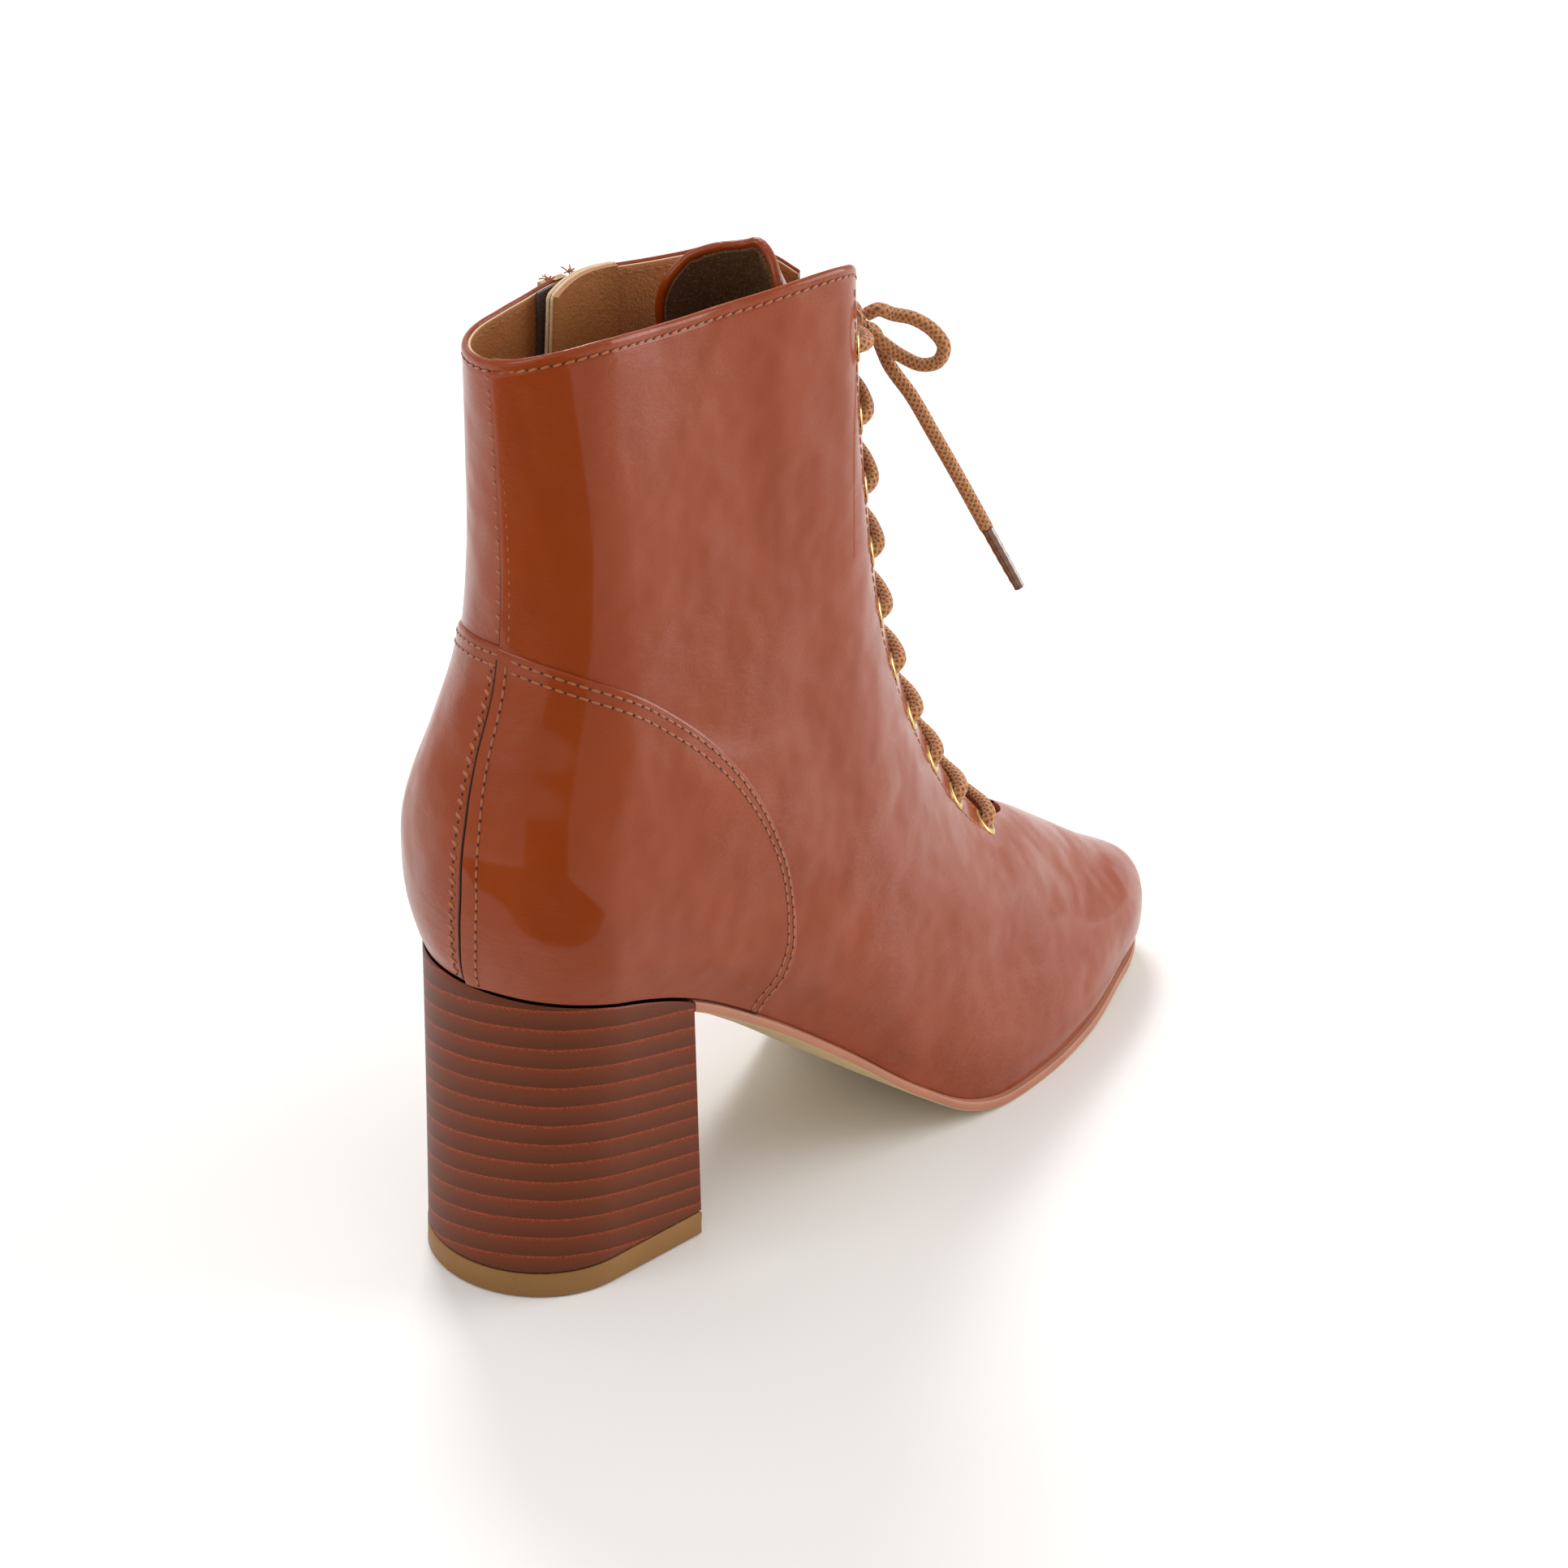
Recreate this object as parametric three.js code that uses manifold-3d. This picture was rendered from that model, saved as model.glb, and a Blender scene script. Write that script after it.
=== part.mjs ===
// Right ankle boot with a block heel, a laced throat and a side zip.
// Millimetres, +X towards the toe, +Y towards the inner (medial) side, +Z up.
// The origin is the centre of the heel's tread, on the floor.
import * as THREE from 'three';
import { mergeVertices } from 'three/addons/utils/BufferGeometryUtils.js';
import Module from 'manifold-3d';

const wasm = await Module();
wasm.setup();

// Driving sizes of the last
const LAST_LENGTH = 254;
const BALL_HALF_WIDTH = 36.5;
const HEEL_LIFT = 79;
const TOE_SPRING = 6;
const SHAFT_HEIGHT = 150;

// Walls, clearances and plates
const GAP = 0.3;
const WALL = 2.0;
const OUTSOLE_THICKNESS = 2.9;
const SOLE_MARGIN = 1.3;
const INSOLE_THICKNESS = 2.0;
const INSOLE_CLEARANCE = 0.8;
const COUNTER_THICKNESS = 1.0;

// Heel block and its tread
const HEEL_BACK_INSET = 3.5;
const HEEL_TREAD_LENGTH = 55.8;
const HEEL_TREAD_HALF_WIDTH = 26.7;
const HEEL_TREAD_ROUND = 26;
const HEEL_BREAST_TOP = 51;
const TOP_PIECE_HEIGHT = 6.5;

// Throat, eyelets and lace
const EYELET_ROWS = 10;
const EYELET_PITCH = 18.3;
const EYELET_FIRST = 23.7;
const EYELET_FROM_EDGE = 7.5;
const EYELET_HOLE_RADIUS = 2.7;
const EYELET_RADIUS = 4.1;
const EYELET_BORE_RADIUS = 2.0;
const EYELET_FLANGE = 0.8;
const EYELET_SEAT = 0.6;
const EYELET_SIDES = 8;
const THROAT_HALF_TOP = 8.5;
const THROAT_HALF_FOOT = 12.5;
const THROAT_PAST_LAST_ROW = 11;
const LACE_DIAMETER = 3.4;
const LACE_RISE = 1.1;
const AGLET_LENGTH = 17;
const AGLET_DIAMETER = 3.2;

// Tongue
const TONGUE_THICKNESS = 1.8;
const TONGUE_CLEARANCE = 1.0;
const TONGUE_HALF_FOOT = 21;
const TONGUE_HALF_TOP = 25;
const TONGUE_RISE = 6;
const TONGUE_BELOW_THROAT = 9;
const TONGUE_LEAN = 6;

// Side zip
const ZIP_FROM_BACK = 0.235;
const ZIP_LENGTH = 134;
const ZIP_SLIT = 6;
const ZIP_CHAIN_WIDTH = 5;
const ZIP_CHAIN_THICKNESS = 1.5;
const ZIP_TAPE_WIDTH = 22;
const ZIP_TAPE_THICKNESS = 0.8;
const ZIP_GUARD_WIDTH = 20;
const ZIP_GUARD_THICKNESS = 1.6;
const ZIP_GUARD_RISE = 3;
const SLIDER_WIDTH = 7.6;
const SLIDER_HEIGHT = 9;
const SLIDER_THICKNESS = 2.0;
const SLIDER_BELOW_COLLAR = 6;
const BRIDGE_WIDTH = 2;
const BRIDGE_BAR = 1.1;
const BRIDGE_TUNNEL = 3.8;
const TAB_LENGTH = 21;
const TAB_WIDTH = 6.2;
const TAB_THICKNESS = 1.1;

// Fineness of the main surfaces
const UPPER_COLUMNS = 36;
const UPPER_ROWS = 16;
const SOLE_STEPS = 26;

// Sole line, one row each: along is a share of LAST_LENGTH, lift a share of
// HEEL_LIFT and spring a share of TOE_SPRING. The ball stands flat.
const SOLE_LINE = [
  { along: 0.0, lift: 1.0, spring: 0 },
  { along: 0.1, lift: 0.955, spring: 0 },
  { along: 0.205, lift: 0.845, spring: 0 },
  { along: 0.3, lift: 0.665, spring: 0 },
  { along: 0.4, lift: 0.435, spring: 0 },
  { along: 0.5, lift: 0.185, spring: 0 },
  { along: 0.575, lift: 0.04, spring: 0 },
  { along: 0.635, lift: 0.0, spring: 0 },
  { along: 0.705, lift: 0.0, spring: 0 },
  { along: 0.78, lift: 0.0, spring: 0.09 },
  { along: 0.88, lift: 0.0, spring: 0.4 },
  { along: 1.0, lift: 0.0, spring: 1.0 },
];

// Stations along every section, from its back (0) to its front (1)
const STATIONS = [0, 0.08, 0.2, 0.35, 0.5, 0.65, 0.8, 0.92, 1];
// Sideways curve of the sole's centre line at the stations, in ball half widths
const INFLARE = [0, 0, -0.025, -0.1, -0.115, -0.01, 0.06, 0.1, 0.11];

// Sections of the upper from the feather line to the collar, a row for each.
// backX and frontX: the section's ends as shares of LAST_LENGTH
// backZ: height over the heel seat, a share of SHAFT_HEIGHT
// lift, rise: height of the front end, shares of HEEL_LIFT and SHAFT_HEIGHT
// sag: how far the section follows the sole line
// bend: how far it follows INFLARE; shift: centre, in ball half widths
// backRound, frontRound: length of its round ends, shares of LAST_LENGTH
// crown, cant: rise at mid length and outer side over inner side, shares of
// SHAFT_HEIGHT
const SECTION_COLUMNS = ['backX', 'backZ', 'frontX', 'lift', 'rise', 'sag', 'bend',
  'backRound', 'frontRound', 'shift', 'crown', 'cant'];
const SECTIONS = {
  feather: [0.022, -0.0035, 0.984, 0.0, -0.002, 1.0, 1.0, 0.095, 0.085, 0, 0, 0],
  wall: [0.014, 0.035, 0.995, 0.0, 0.045, 0.93, 1.0, 0.095, 0.09, 0, 0, 0],
  toe: [0.009, 0.085, 0.984, 0.0, 0.105, 0.82, 1.0, 0.09, 0.12, 0, 0, 0],
  vamp: [0.006, 0.15, 0.909, 0.08, 0.14, 0.66, 0.9, 0.09, 0.2, 0, 0, 0],
  throat: [0.006, 0.225, 0.807, 0.2, 0.19, 0.45, 0.7, 0.09, 0.26, 0, 0, 0],
  instep: [0.016, 0.3, 0.7, 0.35, 0.226, 0.26, 0.45, 0.09, 0.26, 0, 0, 0],
  flex: [0.034, 0.38, 0.608, 0.55, 0.315, 0.1, 0.2, 0.09, 0.2, 0, 0, 0],
  ankle: [0.058, 0.495, 0.537, 0.8, 0.43, 0.03, 0.0, 0.085, 0.13, 0.01, 0, 0],
  shaft: [0.065, 0.65, 0.5, 0.95, 0.625, 0, -0.2, 0.08, 0.09, 0.02, 0, 0],
  calf: [0.061, 0.83, 0.481, 1.0, 0.8, 0, -0.45, 0.075, 0.075, 0.02, 0.002, 0.01],
  collar: [0.053, 1.0, 0.472, 1.0, 0.985, 0, -0.8, 0.075, 0.075, 0.02, 0.009, 0.015],
};
// Half widths of the same sections at the stations, in ball half widths
const HALF_WIDTHS = {
  feather: [0.77, 0.775, 0.775, 0.755, 0.86, 1.0, 0.86, 0.57, 0.4],
  wall: [0.8, 0.82, 0.82, 0.81, 0.91, 1.04, 0.9, 0.61, 0.43],
  toe: [0.84, 0.87, 0.88, 0.87, 0.93, 1.02, 0.88, 0.64, 0.47],
  vamp: [0.86, 0.89, 0.9, 0.89, 0.93, 0.97, 0.86, 0.7, 0.56],
  throat: [0.85, 0.88, 0.9, 0.9, 0.93, 0.95, 0.86, 0.74, 0.62],
  instep: [0.82, 0.84, 0.87, 0.9, 0.93, 0.92, 0.85, 0.77, 0.68],
  flex: [0.76, 0.78, 0.82, 0.85, 0.86, 0.85, 0.8, 0.74, 0.68],
  ankle: [0.68, 0.7, 0.72, 0.74, 0.75, 0.74, 0.7, 0.66, 0.62],
  shaft: [0.62, 0.64, 0.66, 0.67, 0.68, 0.67, 0.64, 0.58, 0.54],
  calf: [0.58, 0.6, 0.62, 0.64, 0.65, 0.64, 0.6, 0.53, 0.48],
  collar: [0.54, 0.55, 0.57, 0.6, 0.62, 0.61, 0.57, 0.49, 0.43],
};

// Seam of the heel counter, from the back seam down to the sole. turn is the
// share of the way round a section, height the share of the way up the rows.
const COUNTER_SEAM = [
  { turn: 0.0, height: 0.735 },
  { turn: 0.065, height: 0.726 },
  { turn: 0.12, height: 0.71 },
  { turn: 0.163, height: 0.682 },
  { turn: 0.2, height: 0.642 },
  { turn: 0.22, height: 0.59 },
  { turn: 0.224, height: 0.52 },
  { turn: 0.215, height: 0.43 },
  { turn: 0.203, height: 0.34 },
  { turn: 0.188, height: 0.22 },
  { turn: 0.18, height: 0.1 },
  { turn: 0.177, height: 0.014 },
];
const COUNTER_FOOT = 0.014;

// Knot of the bow, the directions in which its cords leave it, and the places
// that a loop and an end run through: forwards, to the side and up from the
// knot's middle, in millimetres.
const KNOT_RADII = { ahead: 4.2, out: 5.6, up: 4.6 };
const PORTS = {
  loopStart: { ahead: 1.2, out: 5, up: 2.2 },
  loopReturn: { ahead: 1.4, out: 5, up: -2.2 },
  end: { ahead: 3.6, out: 2.1, up: -2.6 },
};
const LOOP = [
  { ahead: 5.4, out: 9.4, up: 2.4 },
  { ahead: 7.9, out: 13.4, up: 1.9 },
  { ahead: 10.4, out: 17.6, up: -0.6 },
  { ahead: 11.7, out: 20.1, up: -4.3 },
  { ahead: 11, out: 19, up: -8.1 },
  { ahead: 9.1, out: 15.7, up: -9.4 },
  { ahead: 6.6, out: 11.5, up: -7.8 },
];
const END = [
  { ahead: 6.9, out: 7.6, up: -11.4 },
  { ahead: 9.6, out: 12.6, up: -18.4 },
  { ahead: 12.7, out: 16.9, up: -27 },
  { ahead: 16.3, out: 21.8, up: -37 },
  { ahead: 21.2, out: 28.2, up: -50.8 },
];

// Position along the boot of a share of the last's length
const HEEL_CENTRE = HEEL_BACK_INSET + HEEL_TREAD_LENGTH / 2;
const alongX = (share) => share * LAST_LENGTH - HEEL_CENTRE;
const FEATHER_BASE = OUTSOLE_THICKNESS + GAP;

function lerp(a, b, t) {
  return a + (b - a) * t;
}

// Cubic through the points. A level stretch stays level where flat is true.
function through(xs, ys, x, flat = false) {
  const last = xs.length - 1;
  const step = (i) => xs[i + 1] - xs[i];
  const secant = (i) => (ys[i + 1] - ys[i]) / step(i);
  const slope = (i) => {
    if (i === 0) return secant(0);
    if (i === last) return secant(last - 1);
    const before = secant(i - 1);
    const after = secant(i);
    if (flat && before * after <= 0) return 0;
    return (before * step(i) + after * step(i - 1)) / (step(i - 1) + step(i));
  };
  let i = 0;
  while (i < last - 1 && x > xs[i + 1]) i += 1;
  const t = Math.min(1, Math.max(0, (x - xs[i]) / step(i)));
  const start = ys[i] * (2 * t ** 3 - 3 * t ** 2 + 1) + ys[i + 1] * (3 * t ** 2 - 2 * t ** 3);
  const turn = slope(i) * (t ** 3 - 2 * t ** 2 + t) + slope(i + 1) * (t ** 3 - t ** 2);
  return start + turn * step(i);
}

// Height of the upper's lower edge over the floor at a place along the boot
function feathersHeight(x) {
  const share = (x + HEEL_CENTRE) / LAST_LENGTH;
  const along = SOLE_LINE.map((row) => row.along);
  const lift = through(along, SOLE_LINE.map((row) => row.lift), share, true);
  const spring = through(along, SOLE_LINE.map((row) => row.spring), share, true);
  return FEATHER_BASE + lift * HEEL_LIFT + spring * TOE_SPRING;
}

// Quarter round that brings a section's sides together at its ends
function endRound(distance, length) {
  const s = Math.min(1, Math.max(0, distance / length));
  return Math.sqrt(1 - (1 - s) ** 2);
}

const sectionNames = Object.keys(SECTIONS);
const sectionSteps = sectionNames.map((name, i) => i);
const knownSections = new Map();

// The section at a height, from 0 at the feather line to 1 at the collar
function sectionAt(height) {
  if (!knownSections.has(height)) {
    const q = height * (sectionNames.length - 1);
    const row = {};
    SECTION_COLUMNS.forEach((column, c) => {
      row[column] = through(sectionSteps, sectionNames.map((name) => SECTIONS[name][c]), q);
    });
    row.widths = STATIONS.map((station, c) => (
      through(sectionSteps, sectionNames.map((name) => HALF_WIDTHS[name][c]), q)));
    row.back = new THREE.Vector2(alongX(row.backX),
      FEATHER_BASE + HEEL_LIFT + row.backZ * SHAFT_HEIGHT);
    row.front = new THREE.Vector2(alongX(row.frontX),
      FEATHER_BASE + TOE_SPRING + row.lift * HEEL_LIFT + row.rise * SHAFT_HEIGHT);
    knownSections.set(height, row);
  }
  return knownSections.get(height);
}

// How far the sole line leaves the straight line between its two ends
function soleDeparture(t) {
  const { back, front } = sectionAt(0);
  const here = feathersHeight(lerp(back.x, front.x, t));
  const backHeight = feathersHeight(back.x);
  const frontHeight = feathersHeight(front.x);
  return here - lerp(backHeight, frontHeight, t);
}

// A point of the upper's outer face. turn goes round the section: 0 is the
// back, 0.25 the outer side, 0.5 the front and 0.75 the inner side.
function facePoint(turn, height) {
  if (height > 1) {
    const below = facePoint(turn, 0.98);
    const rim = facePoint(turn, 1);
    return rim.clone().add(rim.clone().sub(below).multiplyScalar((height - 1) / 0.02));
  }
  const row = sectionAt(height);
  const angle = turn * 2 * Math.PI;
  const t = (1 - Math.cos(angle)) / 2;
  const side = Math.sin(angle) >= 0 ? -1 : 1;
  const length = row.front.x - row.back.x;
  const round = endRound(t * length, row.backRound * LAST_LENGTH)
    * endRound((1 - t) * length, row.frontRound * LAST_LENGTH);
  const halfWidth = through(STATIONS, row.widths, t) * BALL_HALF_WIDTH * round;
  const centre = (through(STATIONS, INFLARE, t) * row.bend + row.shift) * BALL_HALF_WIDTH;
  const swell = (row.crown * 4 * t * (1 - t) - side * row.cant * round) * SHAFT_HEIGHT;
  return new THREE.Vector3(
    lerp(row.back.x, row.front.x, t),
    centre + side * halfWidth,
    lerp(row.back.y, row.front.y, t) + row.sag * soleDeparture(t) + swell,
  );
}

// Outward normal of the outer face
function faceNormal(turn, height) {
  const e = 0.004;
  const low = Math.max(0, height - e);
  const round = facePoint(turn + e, height).sub(facePoint(turn - e, height));
  const up = facePoint(turn, height + e).sub(facePoint(turn, low));
  return round.cross(up).normalize();
}

// A point at a distance outside the outer face, or inside it where negative
function offsetPoint(turn, height, distance) {
  return facePoint(turn, height).addScaledVector(faceNormal(turn, height), distance);
}

// The turn that lies a distance from the front's middle, positive to the inside
function turnFromFront(height, distance) {
  const step = Math.sign(distance) * 0.0025;
  let turn = 0.5;
  let here = facePoint(turn, height);
  let covered = 0;
  while (distance !== 0 && Math.abs(turn - 0.5) < 0.4) {
    const next = facePoint(turn + step, height);
    const length = next.distanceTo(here);
    if (covered + length >= Math.abs(distance)) {
      return turn + step * (Math.abs(distance) - covered) / length;
    }
    covered += length;
    turn += step;
    here = next;
  }
  return turn;
}

// The height that lies a distance below the collar, down a line of the face
function heightBelowCollar(distance, turnAt) {
  const step = 0.0025;
  if (distance <= 0) {
    const length = facePoint(turnAt(1), 1).distanceTo(facePoint(turnAt(1 - step), 1 - step));
    return 1 - distance * step / length;
  }
  let height = 1;
  let here = facePoint(turnAt(height), height);
  let covered = 0;
  while (height > step) {
    const next = facePoint(turnAt(height - step), height - step);
    const length = next.distanceTo(here);
    if (covered + length >= distance) return height - step * (distance - covered) / length;
    covered += length;
    height -= step;
    here = next;
  }
  return height;
}

const frontMiddle = () => 0.5;

// The turn of the zip's line at a height, on the inner side
function zipTurn(height) {
  const row = sectionAt(Math.min(1, height));
  const x = alongX(ZIP_FROM_BACK);
  const t = (x - row.back.x) / (row.front.x - row.back.x);
  return 1 - Math.acos(1 - 2 * t) / (2 * Math.PI);
}

// Closed geometry from corners and faces, turned so that its faces point out
function closedGeometry(corners, faces) {
  let volume = 0;
  const product = new THREE.Vector3();
  faces.forEach(([a, b, c]) => {
    volume += corners[a].dot(product.crossVectors(corners[b], corners[c]));
  });
  const turned = volume < 0 ? faces.map(([a, b, c]) => [a, c, b]) : faces;
  const geometry = new THREE.BufferGeometry();
  const flat = corners.flatMap((p) => [p.x, p.y, p.z]);
  geometry.setAttribute('position', new THREE.Float32BufferAttribute(flat, 3));
  geometry.setIndex(turned.flat());
  return geometry;
}

// Solid between two grids of points: place(i, j, outer) gives each corner
function panel(rows, columns, place) {
  const corners = [];
  const index = (layer, i, j) => (layer * (rows + 1) + i) * (columns + 1) + j;
  [0, 1].forEach((layer) => {
    for (let i = 0; i <= rows; i += 1) {
      for (let j = 0; j <= columns; j += 1) corners.push(place(i, j, layer === 1));
    }
  });
  const faces = [];
  const quad = (a, b, c, d) => faces.push([a, b, c], [a, c, d]);
  for (let i = 0; i < rows; i += 1) {
    for (let j = 0; j < columns; j += 1) {
      quad(index(1, i, j), index(1, i, j + 1), index(1, i + 1, j + 1), index(1, i + 1, j));
      quad(index(0, i, j), index(0, i + 1, j), index(0, i + 1, j + 1), index(0, i, j + 1));
    }
  }
  for (let j = 0; j < columns; j += 1) {
    quad(index(0, 0, j), index(0, 0, j + 1), index(1, 0, j + 1), index(1, 0, j));
    quad(index(0, rows, j), index(1, rows, j), index(1, rows, j + 1), index(0, rows, j + 1));
  }
  for (let i = 0; i < rows; i += 1) {
    quad(index(0, i, 0), index(1, i, 0), index(1, i + 1, 0), index(0, i + 1, 0));
    quad(index(0, i, columns), index(0, i + 1, columns), index(1, i + 1, columns),
      index(1, i, columns));
  }
  return closedGeometry(corners, faces);
}

// Ring-shaped wall of the upper's form between two distances from its face
function wallForm(inner, outer) {
  const corners = [];
  const index = (layer, i, j) => (layer * (UPPER_ROWS + 1) + i) * UPPER_COLUMNS
    + ((j + UPPER_COLUMNS) % UPPER_COLUMNS);
  [inner, outer].forEach((distance) => {
    for (let i = 0; i <= UPPER_ROWS; i += 1) {
      for (let j = 0; j < UPPER_COLUMNS; j += 1) {
        corners.push(offsetPoint(j / UPPER_COLUMNS, i / UPPER_ROWS, distance));
      }
    }
  });
  const faces = [];
  const quad = (a, b, c, d) => faces.push([a, b, c], [a, c, d]);
  for (let j = 0; j < UPPER_COLUMNS; j += 1) {
    for (let i = 0; i < UPPER_ROWS; i += 1) {
      quad(index(1, i, j), index(1, i, j + 1), index(1, i + 1, j + 1), index(1, i + 1, j));
      quad(index(0, i, j), index(0, i + 1, j), index(0, i + 1, j + 1), index(0, i, j + 1));
    }
    quad(index(0, 0, j), index(0, 0, j + 1), index(1, 0, j + 1), index(1, 0, j));
    quad(index(0, UPPER_ROWS, j), index(1, UPPER_ROWS, j), index(1, UPPER_ROWS, j + 1),
      index(0, UPPER_ROWS, j + 1));
  }
  return closedGeometry(corners, faces);
}

// Solid whose outlines are stacked from bottom to top. An outline runs from
// the back along the outer side to the front and back along the inner side.
function stacked(levels) {
  const count = levels[0].length;
  const half = count / 2;
  const corners = levels.flat();
  const faces = [];
  const quad = (a, b, c, d) => faces.push([a, b, c], [a, c, d]);
  for (let k = 0; k < levels.length - 1; k += 1) {
    for (let j = 0; j < count; j += 1) {
      const next = (j + 1) % count;
      quad(k * count + j, k * count + next, (k + 1) * count + next, (k + 1) * count + j);
    }
  }
  const top = (levels.length - 1) * count;
  for (let j = 0; j < half - 1; j += 1) {
    const back = count - 1 - j;
    quad(j, back, back - 1, j + 1);
    quad(top + j, top + j + 1, top + back - 1, top + back);
  }
  return closedGeometry(corners, faces);
}

// The same number of points, evenly spaced along an open line
function spaced(points, count) {
  const curve = new THREE.CurvePath();
  for (let i = 0; i < points.length - 1; i += 1) {
    curve.add(new THREE.LineCurve3(points[i], points[i + 1]));
  }
  return Array.from({ length: count }, (unused, i) => curve.getPointAt(i / (count - 1)));
}

// Cutting and joining of closed geometry
function toSolid(geometry) {
  const bare = geometry.clone();
  bare.deleteAttribute('normal');
  bare.deleteAttribute('uv');
  const merged = mergeVertices(bare, 1e-4);
  return new wasm.Manifold(new wasm.Mesh({
    numProp: 3,
    vertProperties: new Float32Array(merged.attributes.position.array),
    triVerts: new Uint32Array(merged.index.array),
  }));
}

function toGeometry(solid) {
  const mesh = solid.getMesh();
  const geometry = new THREE.BufferGeometry();
  geometry.setAttribute('position', new THREE.BufferAttribute(mesh.vertProperties, 3));
  geometry.setIndex(new THREE.BufferAttribute(mesh.triVerts, 1));
  return geometry;
}

// Round cord or bar along a smooth line, with a section of six sides
function cordGeometry(points, diameter, steps) {
  const section = new THREE.Shape();
  const sides = 6;
  for (let i = 0; i <= sides; i += 1) {
    const angle = i / sides * 2 * Math.PI;
    const x = Math.cos(angle) * diameter / 2;
    const y = Math.sin(angle) * diameter / 2;
    if (i === 0) section.moveTo(x, y);
    else section.lineTo(x, y);
  }
  const path = new THREE.CatmullRomCurve3(points, false, 'centripetal');
  return new THREE.ExtrudeGeometry(section, { steps, bevelEnabled: false, extrudePath: path });
}

// Places and turns geometry made at the origin: across, outward and up
function seated(geometry, place, across, outward) {
  const up = across.clone().cross(outward).normalize();
  const basis = new THREE.Matrix4().makeBasis(across, outward, up).setPosition(place);
  return geometry.applyMatrix4(basis);
}

const group = new THREE.Group();
const FINISH = {
  leather: { color: 0x9a4a22, roughness: 0.32 },
  lining: { color: 0x7a4a26, roughness: 0.7 },
  sole: { color: 0xb98a6a, roughness: 0.6 },
  heel: { color: 0x4a2216, roughness: 0.45 },
  tread: { color: 0xa9743f, roughness: 0.6 },
  brass: { color: 0xc9a25a, roughness: 0.3, metalness: 1 },
  zip: { color: 0x5a3a22, roughness: 0.6 },
  lace: { color: 0x9a6a3a, roughness: 0.8 },
  aglet: { color: 0x7a4a2c, roughness: 0.35 },
};

function add(name, geometry, finish) {
  const mesh = new THREE.Mesh(geometry, new THREE.MeshStandardMaterial(FINISH[finish]));
  mesh.name = name;
  group.add(mesh);
}

// Outline of the feather line, moved out, for a stretch of the boot's length
function featherOutline(out, backX, frontX, steps) {
  const { back, front } = sectionAt(0);
  const startTurn = backX <= back.x ? 0 : Math.acos(1 - 2 * (backX - back.x) / (front.x - back.x))
    / (2 * Math.PI);
  const endTurn = frontX >= front.x ? 0.5 : Math.acos(1 - 2 * (frontX - back.x)
    / (front.x - back.x)) / (2 * Math.PI);
  const moved = (turn) => {
    const e = 0.002;
    const along = facePoint(turn + e, 0).sub(facePoint(turn - e, 0)).setZ(0).normalize();
    const point = facePoint(turn, 0);
    return new THREE.Vector3(point.x + along.y * out, point.y - along.x * out, 0);
  };
  const side = (mirror) => {
    const fine = 60;
    const line = Array.from({ length: fine + 1 }, (unused, i) => {
      const turn = lerp(startTurn, endTurn, i / fine);
      return moved(mirror ? 1 - turn : turn);
    });
    return spaced(line, steps);
  };
  return [...side(false), ...side(true).reverse()];
}

// Upper
function throatHalf(distance, length) {
  const half = lerp(THROAT_HALF_TOP, THROAT_HALF_FOOT, Math.max(0, distance) / length);
  const fromFoot = Math.max(0, length - distance);
  return Math.max(0.6, half * endRound(fromFoot, half));
}

const THROAT_LENGTH = EYELET_FIRST + (EYELET_ROWS - 1) * EYELET_PITCH + THROAT_PAST_LAST_ROW;

function throatCutter() {
  const distances = [-12, 0];
  const straight = 9;
  for (let i = 1; i <= straight; i += 1) {
    distances.push((THROAT_LENGTH - THROAT_HALF_FOOT) * i / straight);
  }
  [0.35, 0.65, 0.88, 1].forEach((s) => {
    distances.push(THROAT_LENGTH - THROAT_HALF_FOOT * (1 - s));
  });
  const columns = 4;
  return panel(distances.length - 1, columns, (i, j, outer) => {
    const height = heightBelowCollar(distances[i], frontMiddle);
    const half = throatHalf(distances[i], THROAT_LENGTH);
    const turn = turnFromFront(Math.min(1, height), lerp(-half, half, j / columns));
    return offsetPoint(turn, height, outer ? 4 : -3 * WALL);
  });
}

// Strip along the zip's line between two distances below the collar
function zipStrip(from, to, before, after, inner, outer, steps) {
  return panel(steps, 2, (i, j, isOuter) => {
    const height = heightBelowCollar(lerp(to, from, i / steps), zipTurn);
    const turn = zipTurn(height);
    const e = 0.01;
    const rate = facePoint(turn + e, Math.min(1, height))
      .distanceTo(facePoint(turn - e, Math.min(1, height))) / (2 * e);
    const side = [-before, (after - before) / 2, after][j];
    return offsetPoint(turn - side / rate, height, isOuter ? outer : inner);
  });
}

function eyeletPlaces() {
  const places = [];
  for (let row = 0; row < EYELET_ROWS; row += 1) {
    const distance = EYELET_FIRST + row * EYELET_PITCH;
    const height = heightBelowCollar(distance, frontMiddle);
    const fromMiddle = throatHalf(distance, THROAT_LENGTH) + EYELET_FROM_EDGE;
    places.push({ height, fromMiddle });
  }
  return places;
}

// Puts a turned piece, made round the Z axis, on an eyelet's place
function onEyelet(geometry, place, side) {
  const turn = turnFromFront(place.height, side * place.fromMiddle);
  const outward = faceNormal(turn, place.height);
  const level = new THREE.Vector3(0, 0, 1).cross(outward).normalize();
  const up = outward.clone().cross(level);
  const basis = new THREE.Matrix4().makeBasis(level, up, outward)
    .setPosition(facePoint(turn, place.height));
  return geometry.applyMatrix4(basis);
}

const eyelets = eyeletPlaces();
const SIDES = { outer: -1, inner: 1 };

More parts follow.
